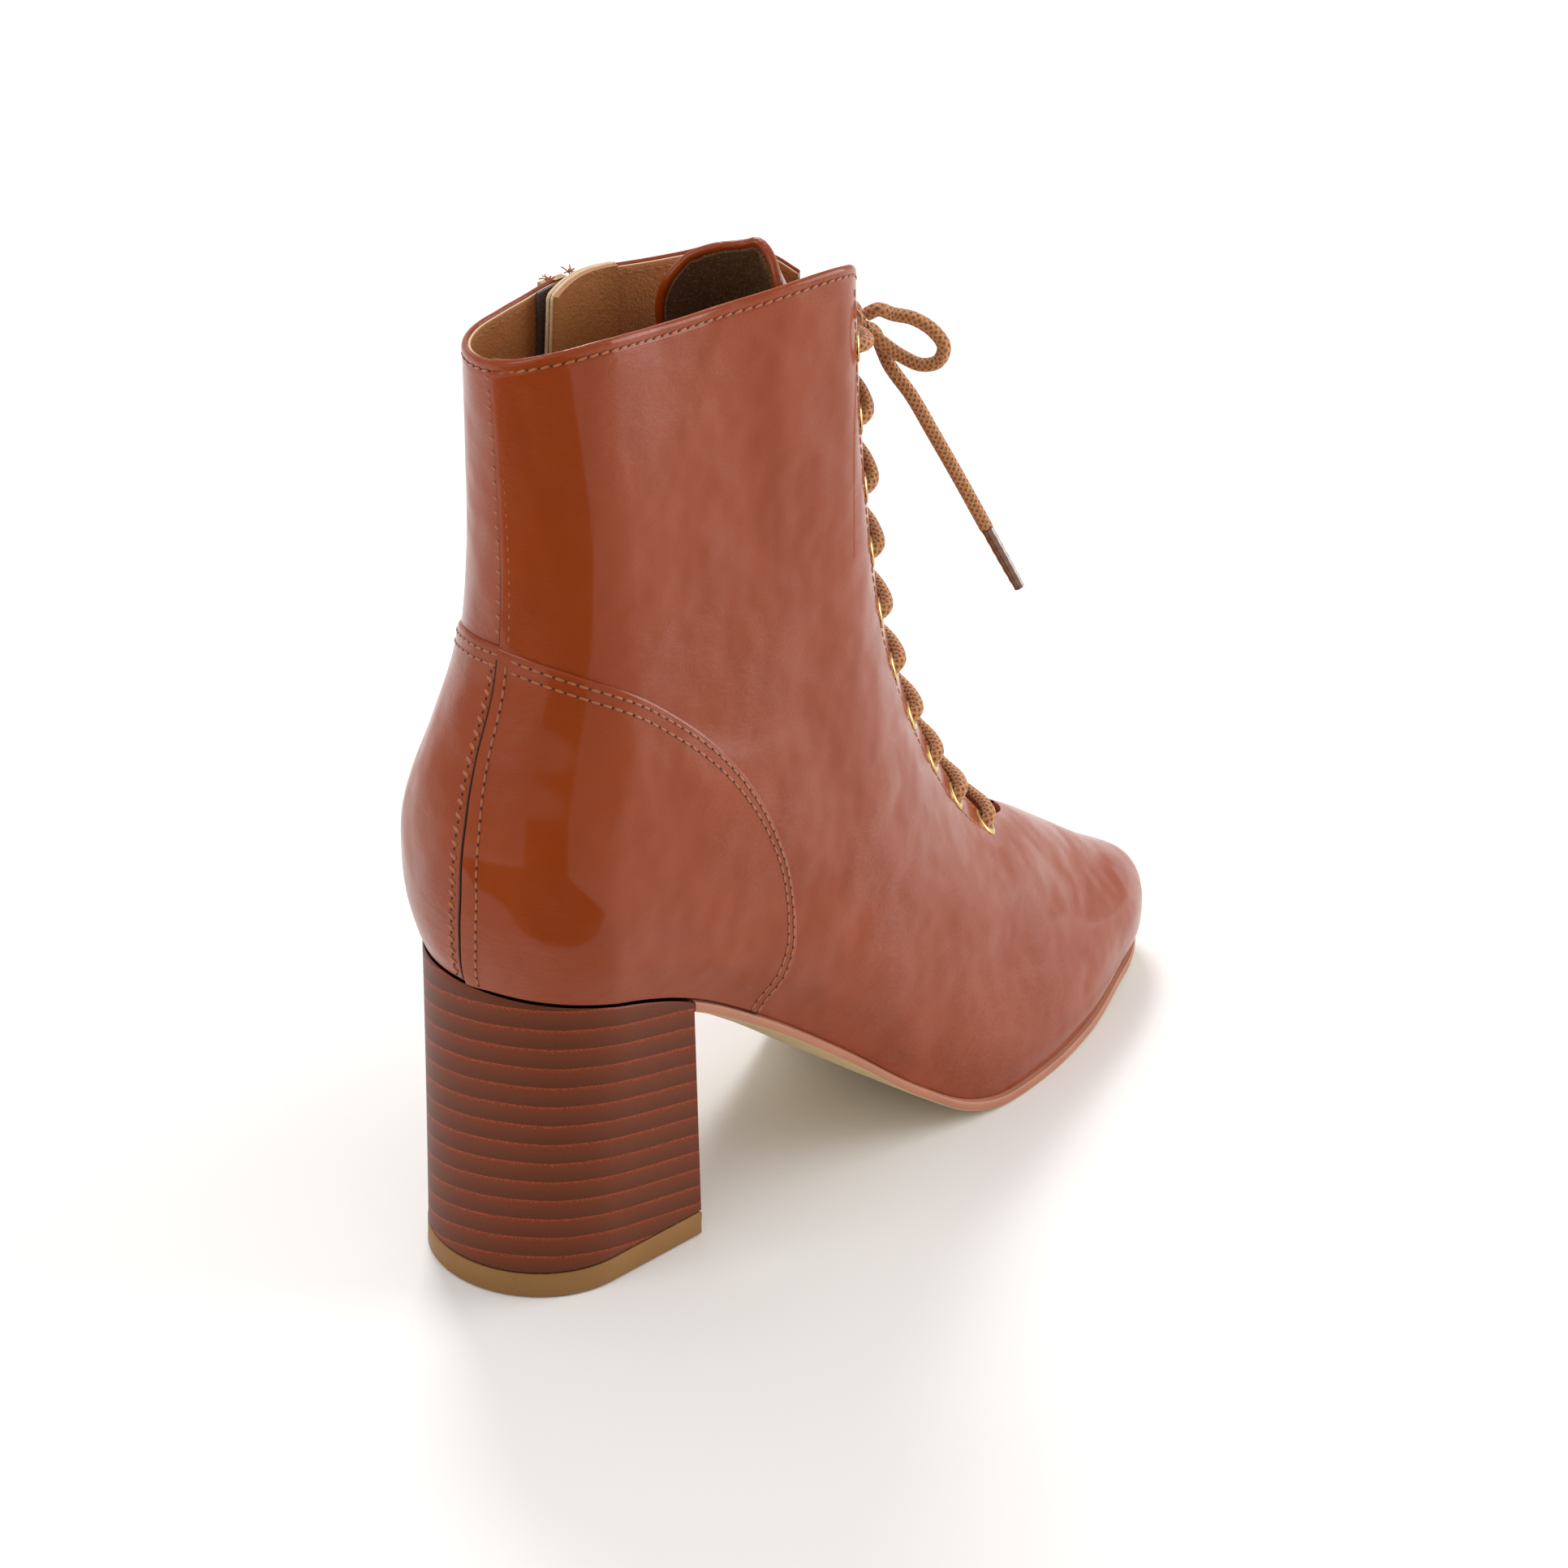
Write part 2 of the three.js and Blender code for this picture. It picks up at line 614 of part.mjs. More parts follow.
function upperGeometry() {
  let solid = toSolid(wallForm(-WALL, 0));
  solid = solid.subtract(toSolid(throatCutter()));
  const slit = zipStrip(-12, ZIP_LENGTH, ZIP_SLIT / 2, ZIP_SLIT / 2, -2 * WALL, WALL, 12);
  solid = solid.subtract(toSolid(slit));
  eyelets.forEach((place) => {
    Object.values(SIDES).forEach((side) => {
      const drill = new THREE.CylinderGeometry(EYELET_HOLE_RADIUS, EYELET_HOLE_RADIUS,
        4 * WALL, EYELET_SIDES);
      drill.rotateX(Math.PI / 2);
      solid = solid.subtract(toSolid(onEyelet(drill, place, side)));
    });
  });
  return toGeometry(solid);
}

add('upper', upperGeometry(), 'leather');

// Heel counter, an outer and an inner half over the upper
function counterCutter(mirror) {
  const rows = 10;
  const columns = 16;
  const edge = GAP / 2 / (4 * HEEL_TREAD_LENGTH);
  const turns = COUNTER_SEAM.map((row) => row.turn);
  const heights = COUNTER_SEAM.map((row) => row.height);
  const places = COUNTER_SEAM.map((row, i) => i);
  return panel(rows, columns, (i, j, outer) => {
    const along = j / columns * (COUNTER_SEAM.length - 1);
    const seamTurn = through(places, turns, along);
    const seamHeight = through(places, heights, along);
    const inward = i / rows;
    const turn = lerp(Math.max(seamTurn, edge), edge, inward);
    const height = lerp(seamHeight, COUNTER_FOOT, inward);
    return offsetPoint(mirror ? 1 - turn : turn, height, outer ? 3 * COUNTER_THICKNESS : -WALL);
  });
}

const counterForm = toSolid(wallForm(GAP, GAP + COUNTER_THICKNESS));
Object.keys(SIDES).forEach((side) => {
  const cutter = toSolid(counterCutter(side === 'inner'));
  add(`counter_${side}`, toGeometry(counterForm.intersect(cutter)), 'leather');
});

// Heel block and its tread
const breastTopX = alongX(HEEL_BREAST_TOP / LAST_LENGTH);
const HEEL_OUTLINE = 15;

function treadOutline(inset, z) {
  const start = -HEEL_TREAD_LENGTH / 2 + inset;
  const end = HEEL_TREAD_LENGTH / 2 - inset;
  const half = HEEL_TREAD_HALF_WIDTH - inset;
  const side = (sign) => {
    const line = [];
    const fine = 24;
    for (let i = 0; i <= fine; i += 1) {
      const angle = i / fine * Math.PI / 2;
      line.push(new THREE.Vector3(start + HEEL_TREAD_ROUND * (1 - Math.cos(angle)),
        sign * half * Math.sin(angle), z));
    }
    line.push(new THREE.Vector3(end, sign * half, z));
    return spaced(line, HEEL_OUTLINE);
  };
  return [...side(-1), ...side(1).reverse()];
}

function heelGeometry() {
  const foot = treadOutline(0, TOP_PIECE_HEIGHT + GAP);
  const head = featherOutline(SOLE_MARGIN, sectionAt(0).back.x, breastTopX, HEEL_OUTLINE);
  const levels = [0, 0.25, 0.5, 0.75, 1].map((rise) => foot.map((low, i) => {
    const high = head[i];
    const top = feathersHeight(high.x) - GAP;
    return new THREE.Vector3(lerp(low.x, high.x, rise), lerp(low.y, high.y, rise),
      lerp(low.z, top, rise));
  }));
  return stacked(levels);
}

add('heel_block', heelGeometry(), 'heel');
add('heel_top_piece', stacked([treadOutline(0, 0), treadOutline(0, TOP_PIECE_HEIGHT)]), 'tread');

// Outsole from the heel's breast to the toe
function outsoleGeometry() {
  const outline = featherOutline(SOLE_MARGIN, breastTopX + 2 * GAP, sectionAt(0).front.x,
    SOLE_STEPS);
  const level = (down) => outline.map((point) => (
    new THREE.Vector3(point.x, point.y, feathersHeight(point.x) - GAP - down)));
  return stacked([level(OUTSOLE_THICKNESS), level(0)]);
}

add('outsole', outsoleGeometry(), 'sole');

// Insole board inside the feather line
function insoleGeometry() {
  const inset = -(WALL + INSOLE_CLEARANCE);
  const outline = featherOutline(inset, sectionAt(0).back.x, sectionAt(0).front.x, SOLE_STEPS);
  const level = (up) => outline.map((point) => (
    new THREE.Vector3(point.x, point.y, feathersHeight(point.x) + up)));
  return stacked([level(0), level(INSOLE_THICKNESS)]);
}

add('insole', insoleGeometry(), 'lining');

// Tongue behind the throat, leaning back over the ankle at its head
function tongueGeometry() {
  const rows = 15;
  const columns = 6;
  const length = THROAT_LENGTH + TONGUE_BELOW_THROAT + TONGUE_RISE;
  return panel(rows, columns, (i, j, outer) => {
    const fromFoot = i / rows;
    const distance = length * (1 - fromFoot) - TONGUE_RISE;
    const height = heightBelowCollar(distance, frontMiddle);
    const toHead = length * (1 - fromFoot);
    const half = lerp(TONGUE_HALF_FOOT, TONGUE_HALF_TOP, fromFoot)
      * Math.max(0.3, endRound(toHead + 1.5, TONGUE_HALF_TOP));
    const turn = turnFromFront(Math.min(1, height), lerp(-half, half, j / columns));
    const lean = TONGUE_LEAN * Math.max(0, (fromFoot - 0.6) / 0.4) ** 2;
    const face = -(WALL + TONGUE_CLEARANCE + lean);
    return offsetPoint(turn, height, outer ? face : face - TONGUE_THICKNESS);
  });
}

add('tongue', tongueGeometry(), 'leather');

// Side zip: tape, chain, guard flap, slider and pull tab
const tapeFace = -(WALL + GAP);
const zipTapeForm = toSolid(wallForm(tapeFace - ZIP_TAPE_THICKNESS, tapeFace));
const zipTapeCutter = toSolid(zipStrip(-4, ZIP_LENGTH + 6, ZIP_TAPE_WIDTH / 2,
  ZIP_TAPE_WIDTH / 2, -4 * WALL, 0, 12));
add('zip_tape', toGeometry(zipTapeForm.intersect(zipTapeCutter)), 'zip');
const chainFace = -GAP;
const zipChainForm = toSolid(wallForm(chainFace - ZIP_CHAIN_THICKNESS, chainFace));
const zipChainCutter = toSolid(zipStrip(-4, ZIP_LENGTH - 1, ZIP_CHAIN_WIDTH / 2,
  ZIP_CHAIN_WIDTH / 2, -2 * WALL, WALL, 12));
add('zip_chain', toGeometry(zipChainForm.intersect(zipChainCutter)), 'brass');

function zipGuardGeometry() {
  const rows = 8;
  const columns = 5;
  return panel(rows, columns, (i, j, outer) => {
    const distance = lerp(ZIP_LENGTH - 4, -ZIP_GUARD_RISE, i / rows);
    const height = heightBelowCollar(distance, zipTurn);
    const turn = zipTurn(height);
    const e = 0.01;
    const rate = facePoint(turn + e, Math.min(1, height))
      .distanceTo(facePoint(turn - e, Math.min(1, height))) / (2 * e);
    const ahead = lerp(-ZIP_GUARD_WIDTH * 0.45, ZIP_GUARD_WIDTH * 0.55, j / columns);
    const lift = 3 * (j / columns) ** 2 * (i / rows);
    const face = tapeFace - ZIP_TAPE_THICKNESS - 2 * GAP - lift;
    return offsetPoint(turn - ahead / rate, height, outer ? face : face - ZIP_GUARD_THICKNESS);
  });
}

add('zip_guard', zipGuardGeometry(), 'lining');

const sliderHeight = heightBelowCollar(SLIDER_BELOW_COLLAR, zipTurn);
const sliderTurn = zipTurn(sliderHeight);
const sliderOut = faceNormal(sliderTurn, sliderHeight).setZ(0).normalize();
const sliderAcross = sliderOut.clone().cross(new THREE.Vector3(0, 0, 1)).normalize();
const sliderFoot = facePoint(sliderTurn, sliderHeight).addScaledVector(sliderOut, 3 * GAP);

function block(width, depth, height, out, up) {
  const box = new THREE.BoxGeometry(width, depth, height);
  return box.translate(0, out + depth / 2, up);
}

function joined(geometries) {
  const solids = geometries.map(toSolid);
  return toGeometry(solids.reduce((whole, next) => whole.add(next)));
}

const bridgeFloor = SLIDER_THICKNESS;
const bridgeRoof = bridgeFloor + TAB_THICKNESS + 2 * GAP;
const tabMiddle = bridgeFloor + GAP + TAB_THICKNESS / 2;
const bridgeLength = BRIDGE_TUNNEL + 2 * BRIDGE_BAR;

function sliderGeometry() {
  const footUp = (BRIDGE_TUNNEL + BRIDGE_BAR) / 2;
  const footDepth = bridgeRoof + BRIDGE_BAR;
  return joined([
    block(SLIDER_WIDTH, SLIDER_THICKNESS, SLIDER_HEIGHT, 0, 0),
    block(BRIDGE_WIDTH, footDepth, BRIDGE_BAR, 0, footUp),
    block(BRIDGE_WIDTH, footDepth, BRIDGE_BAR, 0, -footUp),
    block(BRIDGE_WIDTH, BRIDGE_BAR, bridgeLength, bridgeRoof, 0),
  ]);
}

function tabGeometry() {
  const halfBar = TAB_THICKNESS / 2;
  const windowLength = bridgeLength / 2 + 2 * GAP;
  const plate = new THREE.Shape();
  plate.moveTo(-TAB_WIDTH / 2, halfBar);
  plate.lineTo(-TAB_WIDTH / 2, -TAB_LENGTH + TAB_WIDTH / 2);
  plate.absarc(0, -TAB_LENGTH + TAB_WIDTH / 2, TAB_WIDTH / 2, Math.PI, 2 * Math.PI);
  plate.lineTo(TAB_WIDTH / 2, halfBar);
  const opening = new THREE.Path();
  const halfWindow = BRIDGE_WIDTH / 2 + GAP;
  opening.moveTo(-halfWindow, -halfBar);
  opening.lineTo(halfWindow, -halfBar);
  opening.lineTo(halfWindow, -halfBar - windowLength);
  opening.lineTo(-halfWindow, -halfBar - windowLength);
  plate.holes.push(opening);
  const geometry = new THREE.ExtrudeGeometry(plate, {
    depth: TAB_THICKNESS, bevelEnabled: false, curveSegments: 6,
  });
  geometry.translate(0, 0, -TAB_THICKNESS / 2);
  geometry.rotateX(Math.PI / 2);
  return geometry.translate(0, tabMiddle, 0);
}

add('zip_slider', seated(sliderGeometry(), sliderFoot, sliderAcross, sliderOut), 'brass');
add('zip_pull_tab', seated(tabGeometry(), sliderFoot, sliderAcross, sliderOut), 'brass');

// Eyelets: a flange on the leather and a barrel through its hole
const eyeletTop = EYELET_SEAT + EYELET_FLANGE;

function eyeletGeometry() {
  const barrel = EYELET_HOLE_RADIUS - GAP;
  const profile = [
    [EYELET_BORE_RADIUS, -WALL], [barrel, -WALL], [barrel, EYELET_SEAT],
    [EYELET_RADIUS, EYELET_SEAT], [(EYELET_BORE_RADIUS + EYELET_RADIUS) / 2, eyeletTop],
    [EYELET_BORE_RADIUS, EYELET_SEAT - EYELET_FLANGE / 2], [EYELET_BORE_RADIUS, -WALL],
  ].map(([radius, height]) => new THREE.Vector2(radius, height));
  return new THREE.LatheGeometry(profile, EYELET_SIDES).rotateX(Math.PI / 2);
}

eyelets.forEach((place, row) => {
  Object.entries(SIDES).forEach(([name, side]) => {
    add(`eyelet_${name}_${row + 1}`, onEyelet(eyeletGeometry(), place, side), 'brass');
  });
});

// Lace bars over the throat. A bar comes up out of its lower eyelet, crosses
// the throat and dives under the far quarter's edge, just over the tongue.
const laceFoot = eyeletTop + GAP;
const laceRun = eyeletTop + LACE_DIAMETER / 2 + LACE_RISE;
const laceDive = -(WALL + TONGUE_CLEARANCE) + LACE_DIAMETER / 2 + GAP;
const OVER_EYELET = [
  { across: 0, out: laceFoot },
  { across: 0.035, out: lerp(laceFoot, laceRun, 0.7) },
  { across: 0.13, out: laceRun },
];
const CROSSING = [
  ...OVER_EYELET,
  { across: 0.45, out: laceRun },
  { across: 0.72, out: lerp(laceDive, laceRun, 0.72) },
  { across: 1, out: laceDive },
];
// Share of the way up to the next row at which a bar is under the quarter
const CROSSING_REACH = 0.76;
const TOP_SIDE = [...OVER_EYELET, { across: 0.25, out: lerp(laceDive, laceRun, 0.8) }];
const TOP_BAR = [
  ...TOP_SIDE,
  { across: 0.5, out: laceDive },
  ...TOP_SIDE.map(({ across, out }) => ({ across: 1 - across, out })).reverse(),
];

function laceBar(from, to, route, steps) {
  const points = route.map(({ across, out }) => {
    const height = lerp(from.height, to.height, across);
    const place = lerp(from.place, to.place, across);
    return offsetPoint(turnFromFront(height, place), height, out);
  });
  return cordGeometry(points, LACE_DIAMETER, steps);
}

for (let row = 0; row < EYELET_ROWS - 1; row += 1) {
  const low = eyelets[row + 1];
  const high = eyelets[row];
  const edge = high.fromMiddle - EYELET_FROM_EDGE - LACE_DIAMETER / 2 - GAP;
  const bars = Object.values(SIDES).map((side) => laceBar(
    { height: low.height, place: side * low.fromMiddle },
    { height: lerp(low.height, high.height, CROSSING_REACH), place: -side * edge },
    CROSSING,
    6,
  ));
  add(`lace_cross_${row + 1}`, joined(bars), 'lace');
}

const topRow = eyelets[0];
add('lace_top_bar', laceBar(
  { height: topRow.height, place: -topRow.fromMiddle },
  { height: topRow.height, place: topRow.fromMiddle },
  TOP_BAR,
  12,
), 'lace');

// Bow at the top row: knot, two loops, two ends with their tips
const knotMiddle = offsetPoint(0.5, eyelets[0].height,
  laceDive + LACE_DIAMETER / 2 + KNOT_RADII.ahead + GAP);

function bowPoint({ ahead, out, up }, side) {
  return new THREE.Vector3(ahead, side * out, up).add(knotMiddle);
}

// The first two points of a cord that leaves the knot square to its surface
function port({ ahead, out, up }, side) {
  const radii = new THREE.Vector3(KNOT_RADII.ahead, KNOT_RADII.out, KNOT_RADII.up);
  const surface = new THREE.Vector3(ahead, side * out, up);
  surface.divideScalar(surface.clone().divide(radii).length());
  const outward = surface.clone().divide(radii).divide(radii).normalize();
  return [GAP, LACE_DIAMETER].map((away) => (
    knotMiddle.clone().add(surface).addScaledVector(outward, away)));
}

const knot = new THREE.SphereGeometry(1, 10, 7);
knot.scale(KNOT_RADII.ahead, KNOT_RADII.out, KNOT_RADII.up);
knot.translate(knotMiddle.x, knotMiddle.y, knotMiddle.z);
add('lace_knot', knot, 'lace');

function agletGeometry(end, before) {
  const along = end.clone().sub(before).normalize();
  const start = end.clone().addScaledVector(along, GAP);
  const finish = start.clone().addScaledVector(along, AGLET_LENGTH);
  const middle = start.clone().lerp(finish, 0.5);
  return cordGeometry([start, middle, finish], AGLET_DIAMETER, 2);
}

Object.entries(SIDES).forEach(([name, side]) => {
  const loop = [
    ...port(PORTS.loopStart, side),
    ...LOOP.map((place) => bowPoint(place, side)),
    ...port(PORTS.loopReturn, side).reverse(),
  ];
  add(`lace_loop_${name}`, cordGeometry(loop, LACE_DIAMETER, 18), 'lace');
  const end = [...port(PORTS.end, side), ...END.map((place) => bowPoint(place, side))];
  add(`lace_end_${name}`, cordGeometry(end, LACE_DIAMETER, 14), 'lace');
  const [before, last] = end.slice(-2);
  add(`lace_tip_${name}`, agletGeometry(last, before), 'aglet');
});

export default group;
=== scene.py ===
import math

import bpy
import numpy as np
from mathutils import Matrix, Vector


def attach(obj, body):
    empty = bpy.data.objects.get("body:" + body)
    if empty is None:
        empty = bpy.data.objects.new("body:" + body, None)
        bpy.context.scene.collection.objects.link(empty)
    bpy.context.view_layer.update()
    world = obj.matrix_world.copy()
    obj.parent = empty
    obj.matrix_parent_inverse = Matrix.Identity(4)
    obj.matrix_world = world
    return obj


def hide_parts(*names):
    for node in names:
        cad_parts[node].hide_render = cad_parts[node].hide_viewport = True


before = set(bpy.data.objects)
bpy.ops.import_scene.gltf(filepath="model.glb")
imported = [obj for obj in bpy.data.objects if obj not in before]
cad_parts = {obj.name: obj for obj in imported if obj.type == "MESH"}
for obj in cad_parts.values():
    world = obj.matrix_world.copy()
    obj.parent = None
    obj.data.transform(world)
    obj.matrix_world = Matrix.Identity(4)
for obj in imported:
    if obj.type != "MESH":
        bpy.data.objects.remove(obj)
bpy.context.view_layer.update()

bl_info = {
    "name": "Lace up ankle boot",
    "version": (1, 0, 0),
    "blender": (4, 5, 0),
    "location": "3D View > Sidebar > Boot",
    "description": "Dresses the boot's solids in leather, thread, lace and metal",
    "category": "Object",
}

MM = 0.001

# Sizes of the last and of its pieces in millimetres, as the solids have them.
LAST_LENGTH = 254.0
BALL_HALF_WIDTH = 36.5
HEEL_LIFT = 79.0
TOE_SPRING = 6.0
SHAFT_HEIGHT = 150.0
HEEL_CENTRE = 31.4
FEATHER_BASE = 3.2
WALL = 2.0
GAP = 0.3
EYELET_ROWS = 10
EYELET_PITCH = 18.3
EYELET_FIRST = 23.7
EYELET_FROM_EDGE = 7.5
THROAT_HALF_TOP = 8.5
THROAT_HALF_FOOT = 12.5
THROAT_PAST_LAST_ROW = 11.0
THROAT_LENGTH = EYELET_FIRST + (EYELET_ROWS - 1) * EYELET_PITCH + THROAT_PAST_LAST_ROW
ZIP_FROM_BACK = 0.235
ZIP_LENGTH = 134.0
ZIP_SLIT = 6.0
TONGUE_HALF_FOOT = 21.0
TONGUE_HALF_TOP = 25.0
TONGUE_RISE = 6.0
TONGUE_BELOW_THROAT = 9.0
TONGUE_LEAN = 6.0

# Sole line: share of the length, lift and spring.
SOLE_LINE = (
    (0.0, 1.0, 0), (0.1, 0.955, 0), (0.205, 0.845, 0), (0.3, 0.665, 0),
    (0.4, 0.435, 0), (0.5, 0.185, 0), (0.575, 0.04, 0), (0.635, 0.0, 0),
    (0.705, 0.0, 0), (0.78, 0.0, 0.09), (0.88, 0.0, 0.4), (1.0, 0.0, 1.0),
)
STATIONS = (0, 0.08, 0.2, 0.35, 0.5, 0.65, 0.8, 0.92, 1)
INFLARE = (0, 0, -0.025, -0.1, -0.115, -0.01, 0.06, 0.1, 0.11)
# Sections from the feather line to the collar: backX, backZ, frontX, lift,
# rise, sag, bend, backRound, frontRound, shift, crown, cant.
SECTIONS = (
    (0.022, -0.0035, 0.984, 0.0, -0.002, 1.0, 1.0, 0.095, 0.085, 0, 0, 0),
    (0.014, 0.035, 0.995, 0.0, 0.045, 0.93, 1.0, 0.095, 0.09, 0, 0, 0),
    (0.009, 0.085, 0.984, 0.0, 0.105, 0.82, 1.0, 0.09, 0.12, 0, 0, 0),
    (0.006, 0.15, 0.909, 0.08, 0.14, 0.66, 0.9, 0.09, 0.2, 0, 0, 0),
    (0.006, 0.225, 0.807, 0.2, 0.19, 0.45, 0.7, 0.09, 0.26, 0, 0, 0),
    (0.016, 0.3, 0.7, 0.35, 0.226, 0.26, 0.45, 0.09, 0.26, 0, 0, 0),
    (0.034, 0.38, 0.608, 0.55, 0.315, 0.1, 0.2, 0.09, 0.2, 0, 0, 0),
    (0.058, 0.495, 0.537, 0.8, 0.43, 0.03, 0.0, 0.085, 0.13, 0.01, 0, 0),
    (0.065, 0.65, 0.5, 0.95, 0.625, 0, -0.2, 0.08, 0.09, 0.02, 0, 0),
    (0.061, 0.83, 0.481, 1.0, 0.8, 0, -0.45, 0.075, 0.075, 0.02, 0.002, 0.01),
    (0.053, 1.0, 0.472, 1.0, 0.985, 0, -0.8, 0.075, 0.075, 0.02, 0.009, 0.015),
)
HALF_WIDTHS = (
    (0.77, 0.775, 0.775, 0.755, 0.86, 1.0, 0.86, 0.57, 0.4),
    (0.8, 0.82, 0.82, 0.81, 0.91, 1.04, 0.9, 0.61, 0.43),
    (0.84, 0.87, 0.88, 0.87, 0.93, 1.02, 0.88, 0.64, 0.47),
    (0.86, 0.89, 0.9, 0.89, 0.93, 0.97, 0.86, 0.7, 0.56),
    (0.85, 0.88, 0.9, 0.9, 0.93, 0.95, 0.86, 0.74, 0.62),
    (0.82, 0.84, 0.87, 0.9, 0.93, 0.92, 0.85, 0.77, 0.68),
    (0.76, 0.78, 0.82, 0.85, 0.86, 0.85, 0.8, 0.74, 0.68),
    (0.68, 0.7, 0.72, 0.74, 0.75, 0.74, 0.7, 0.66, 0.62),
    (0.62, 0.64, 0.66, 0.67, 0.68, 0.67, 0.64, 0.58, 0.54),
    (0.58, 0.6, 0.62, 0.64, 0.65, 0.64, 0.6, 0.53, 0.48),
    (0.54, 0.55, 0.57, 0.6, 0.62, 0.61, 0.57, 0.49, 0.43),
)
# Counter seam and back seam on the last: turn, height.
COUNTER_SEAM = (
    (0.0, 0.735), (0.065, 0.726), (0.12, 0.71), (0.163, 0.682), (0.2, 0.642),
    (0.22, 0.59), (0.224, 0.52), (0.215, 0.43), (0.203, 0.34), (0.188, 0.22),
    (0.18, 0.1), (0.177, 0.014),
)
BACK_SEAM = (
    (0.006, 0.0), (0.010, 0.253), (0.0125, 0.36), (0.0125, 0.478), (0.009, 0.6),
    (0.0095, 0.7), (0.0095, 0.8), (0.0075, 0.9), (0.007, 1.0),
)


def cubic(xs, ys, x, flat=False):
    """Smooth curve through points, level where flat rows meet."""
    xs, ys, x = (np.asarray(a, float) for a in (xs, ys, x))
    step = np.diff(xs)
    secant = np.diff(ys) / step
    slope = np.empty_like(ys)
    slope[0], slope[-1] = secant[0], secant[-1]
    slope[1:-1] = (secant[:-1] * step[1:] + secant[1:] * step[:-1]) / (step[:-1] + step[1:])
    if flat:
        slope[1:-1] = np.where(secant[:-1] * secant[1:] <= 0, 0, slope[1:-1])
    i = np.clip(np.searchsorted(xs, x, side="right") - 1, 0, len(xs) - 2)
    t = np.clip((x - xs[i]) / step[i], 0, 1)
    return (
        ys[i] * (2 * t**3 - 3 * t**2 + 1)
        + ys[i + 1] * (3 * t**2 - 2 * t**3)
        + step[i] * (slope[i] * (t**3 - 2 * t**2 + t) + slope[i + 1] * (t**3 - t**2))
    )


def sole_height(share):
    """Height of the upper's lower edge at a share of the last's length."""
    along, lift, spring = np.array(SOLE_LINE, float).T
    return (
        FEATHER_BASE
        + cubic(along, lift, share, True) * HEEL_LIFT
        + cubic(along, spring, share, True) * TOE_SPRING
    )


def end_round(distance, length):
    s = np.clip(distance / length, 0, 1)
    return np.sqrt(np.clip(1 - (1 - s) ** 2, 0, 1))


SECTION_TABLE = np.hstack([np.array(SECTIONS, float), np.array(HALF_WIDTHS, float)])


def face_inside(turn, height):
    """Points of the last's face for heights from 0 to 1, in millimetres."""
    q = height * (len(SECTIONS) - 1)
    rows = np.arange(len(SECTIONS))
    columns = [cubic(rows, SECTION_TABLE[:, c], q) for c in range(SECTION_TABLE.shape[1])]
    back_x, back_z, front_x, lift, rise, sag, bend, back_r, front_r, shift, crown, cant = columns[:12]
    widths = np.stack(np.broadcast_arrays(*columns[12:]), -1)
    angle = turn * 2 * np.pi
    t = (1 - np.cos(angle)) / 2
    side = np.where(np.sin(angle) >= 0, -1.0, 1.0)
    start, end = back_x * LAST_LENGTH, front_x * LAST_LENGTH
    low = FEATHER_BASE + HEEL_LIFT + back_z * SHAFT_HEIGHT
    high = FEATHER_BASE + TOE_SPRING + lift * HEEL_LIFT + rise * SHAFT_HEIGHT
    feather_back, feather_front = SECTIONS[0][0], SECTIONS[0][2]
    here = sole_height(feather_back + t * (feather_front - feather_back))
    ends = sole_height(np.array([feather_back, feather_front]))
    departure = here - (ends[0] + t * (ends[1] - ends[0]))
    xs = np.array(STATIONS, float)
    step = np.diff(xs)
    secant = np.diff(widths, axis=-1) / step
    slope = np.empty_like(widths)
    slope[..., 0], slope[..., -1] = secant[..., 0], secant[..., -1]
    slope[..., 1:-1] = (secant[..., :-1] * step[1:] + secant[..., 1:] * step[:-1]) / (
        step[:-1] + step[1:]
    )
    i = np.clip(np.searchsorted(xs, t, side="right") - 1, 0, len(xs) - 2)
    s = (t - xs[i]) / step[i]

    def pick(table, k):
        return np.take_along_axis(table, k[..., None], -1)[..., 0]

    width = (
        (2 * s**3 - 3 * s**2 + 1) * pick(widths, i)
        + (s**3 - 2 * s**2 + s) * step[i] * pick(slope, i)
        + (3 * s**2 - 2 * s**3) * pick(widths, i + 1)
        + (s**3 - s**2) * step[i] * pick(slope, i + 1)
    )
    span = end - start
    rounding = end_round(t * span, back_r * LAST_LENGTH) * end_round(
        (1 - t) * span, front_r * LAST_LENGTH
    )
    centre = (cubic(STATIONS, INFLARE, t) * bend + shift) * BALL_HALF_WIDTH
    x = start + t * span - HEEL_CENTRE
    y = centre + side * width * BALL_HALF_WIDTH * rounding
    z = low + t * (high - low) + sag * departure
    z = z + (crown * 4 * t * (1 - t) - side * cant * rounding) * SHAFT_HEIGHT
    return np.stack(np.broadcast_arrays(x, y, z), -1)


def face(turn, height):
    """The last's face, carried straight on above the collar."""
    turn, height = np.broadcast_arrays(np.asarray(turn, float), np.asarray(height, float))
    point = face_inside(turn, np.clip(height, 0, 1))
    over = np.maximum(0, height - 1)[..., None] / 0.02
    if np.any(over > 0):
        rim = face_inside(turn, np.ones_like(height))
        below = face_inside(turn, np.full_like(height, 0.98))
        point = point + (rim - below) * over
    return point


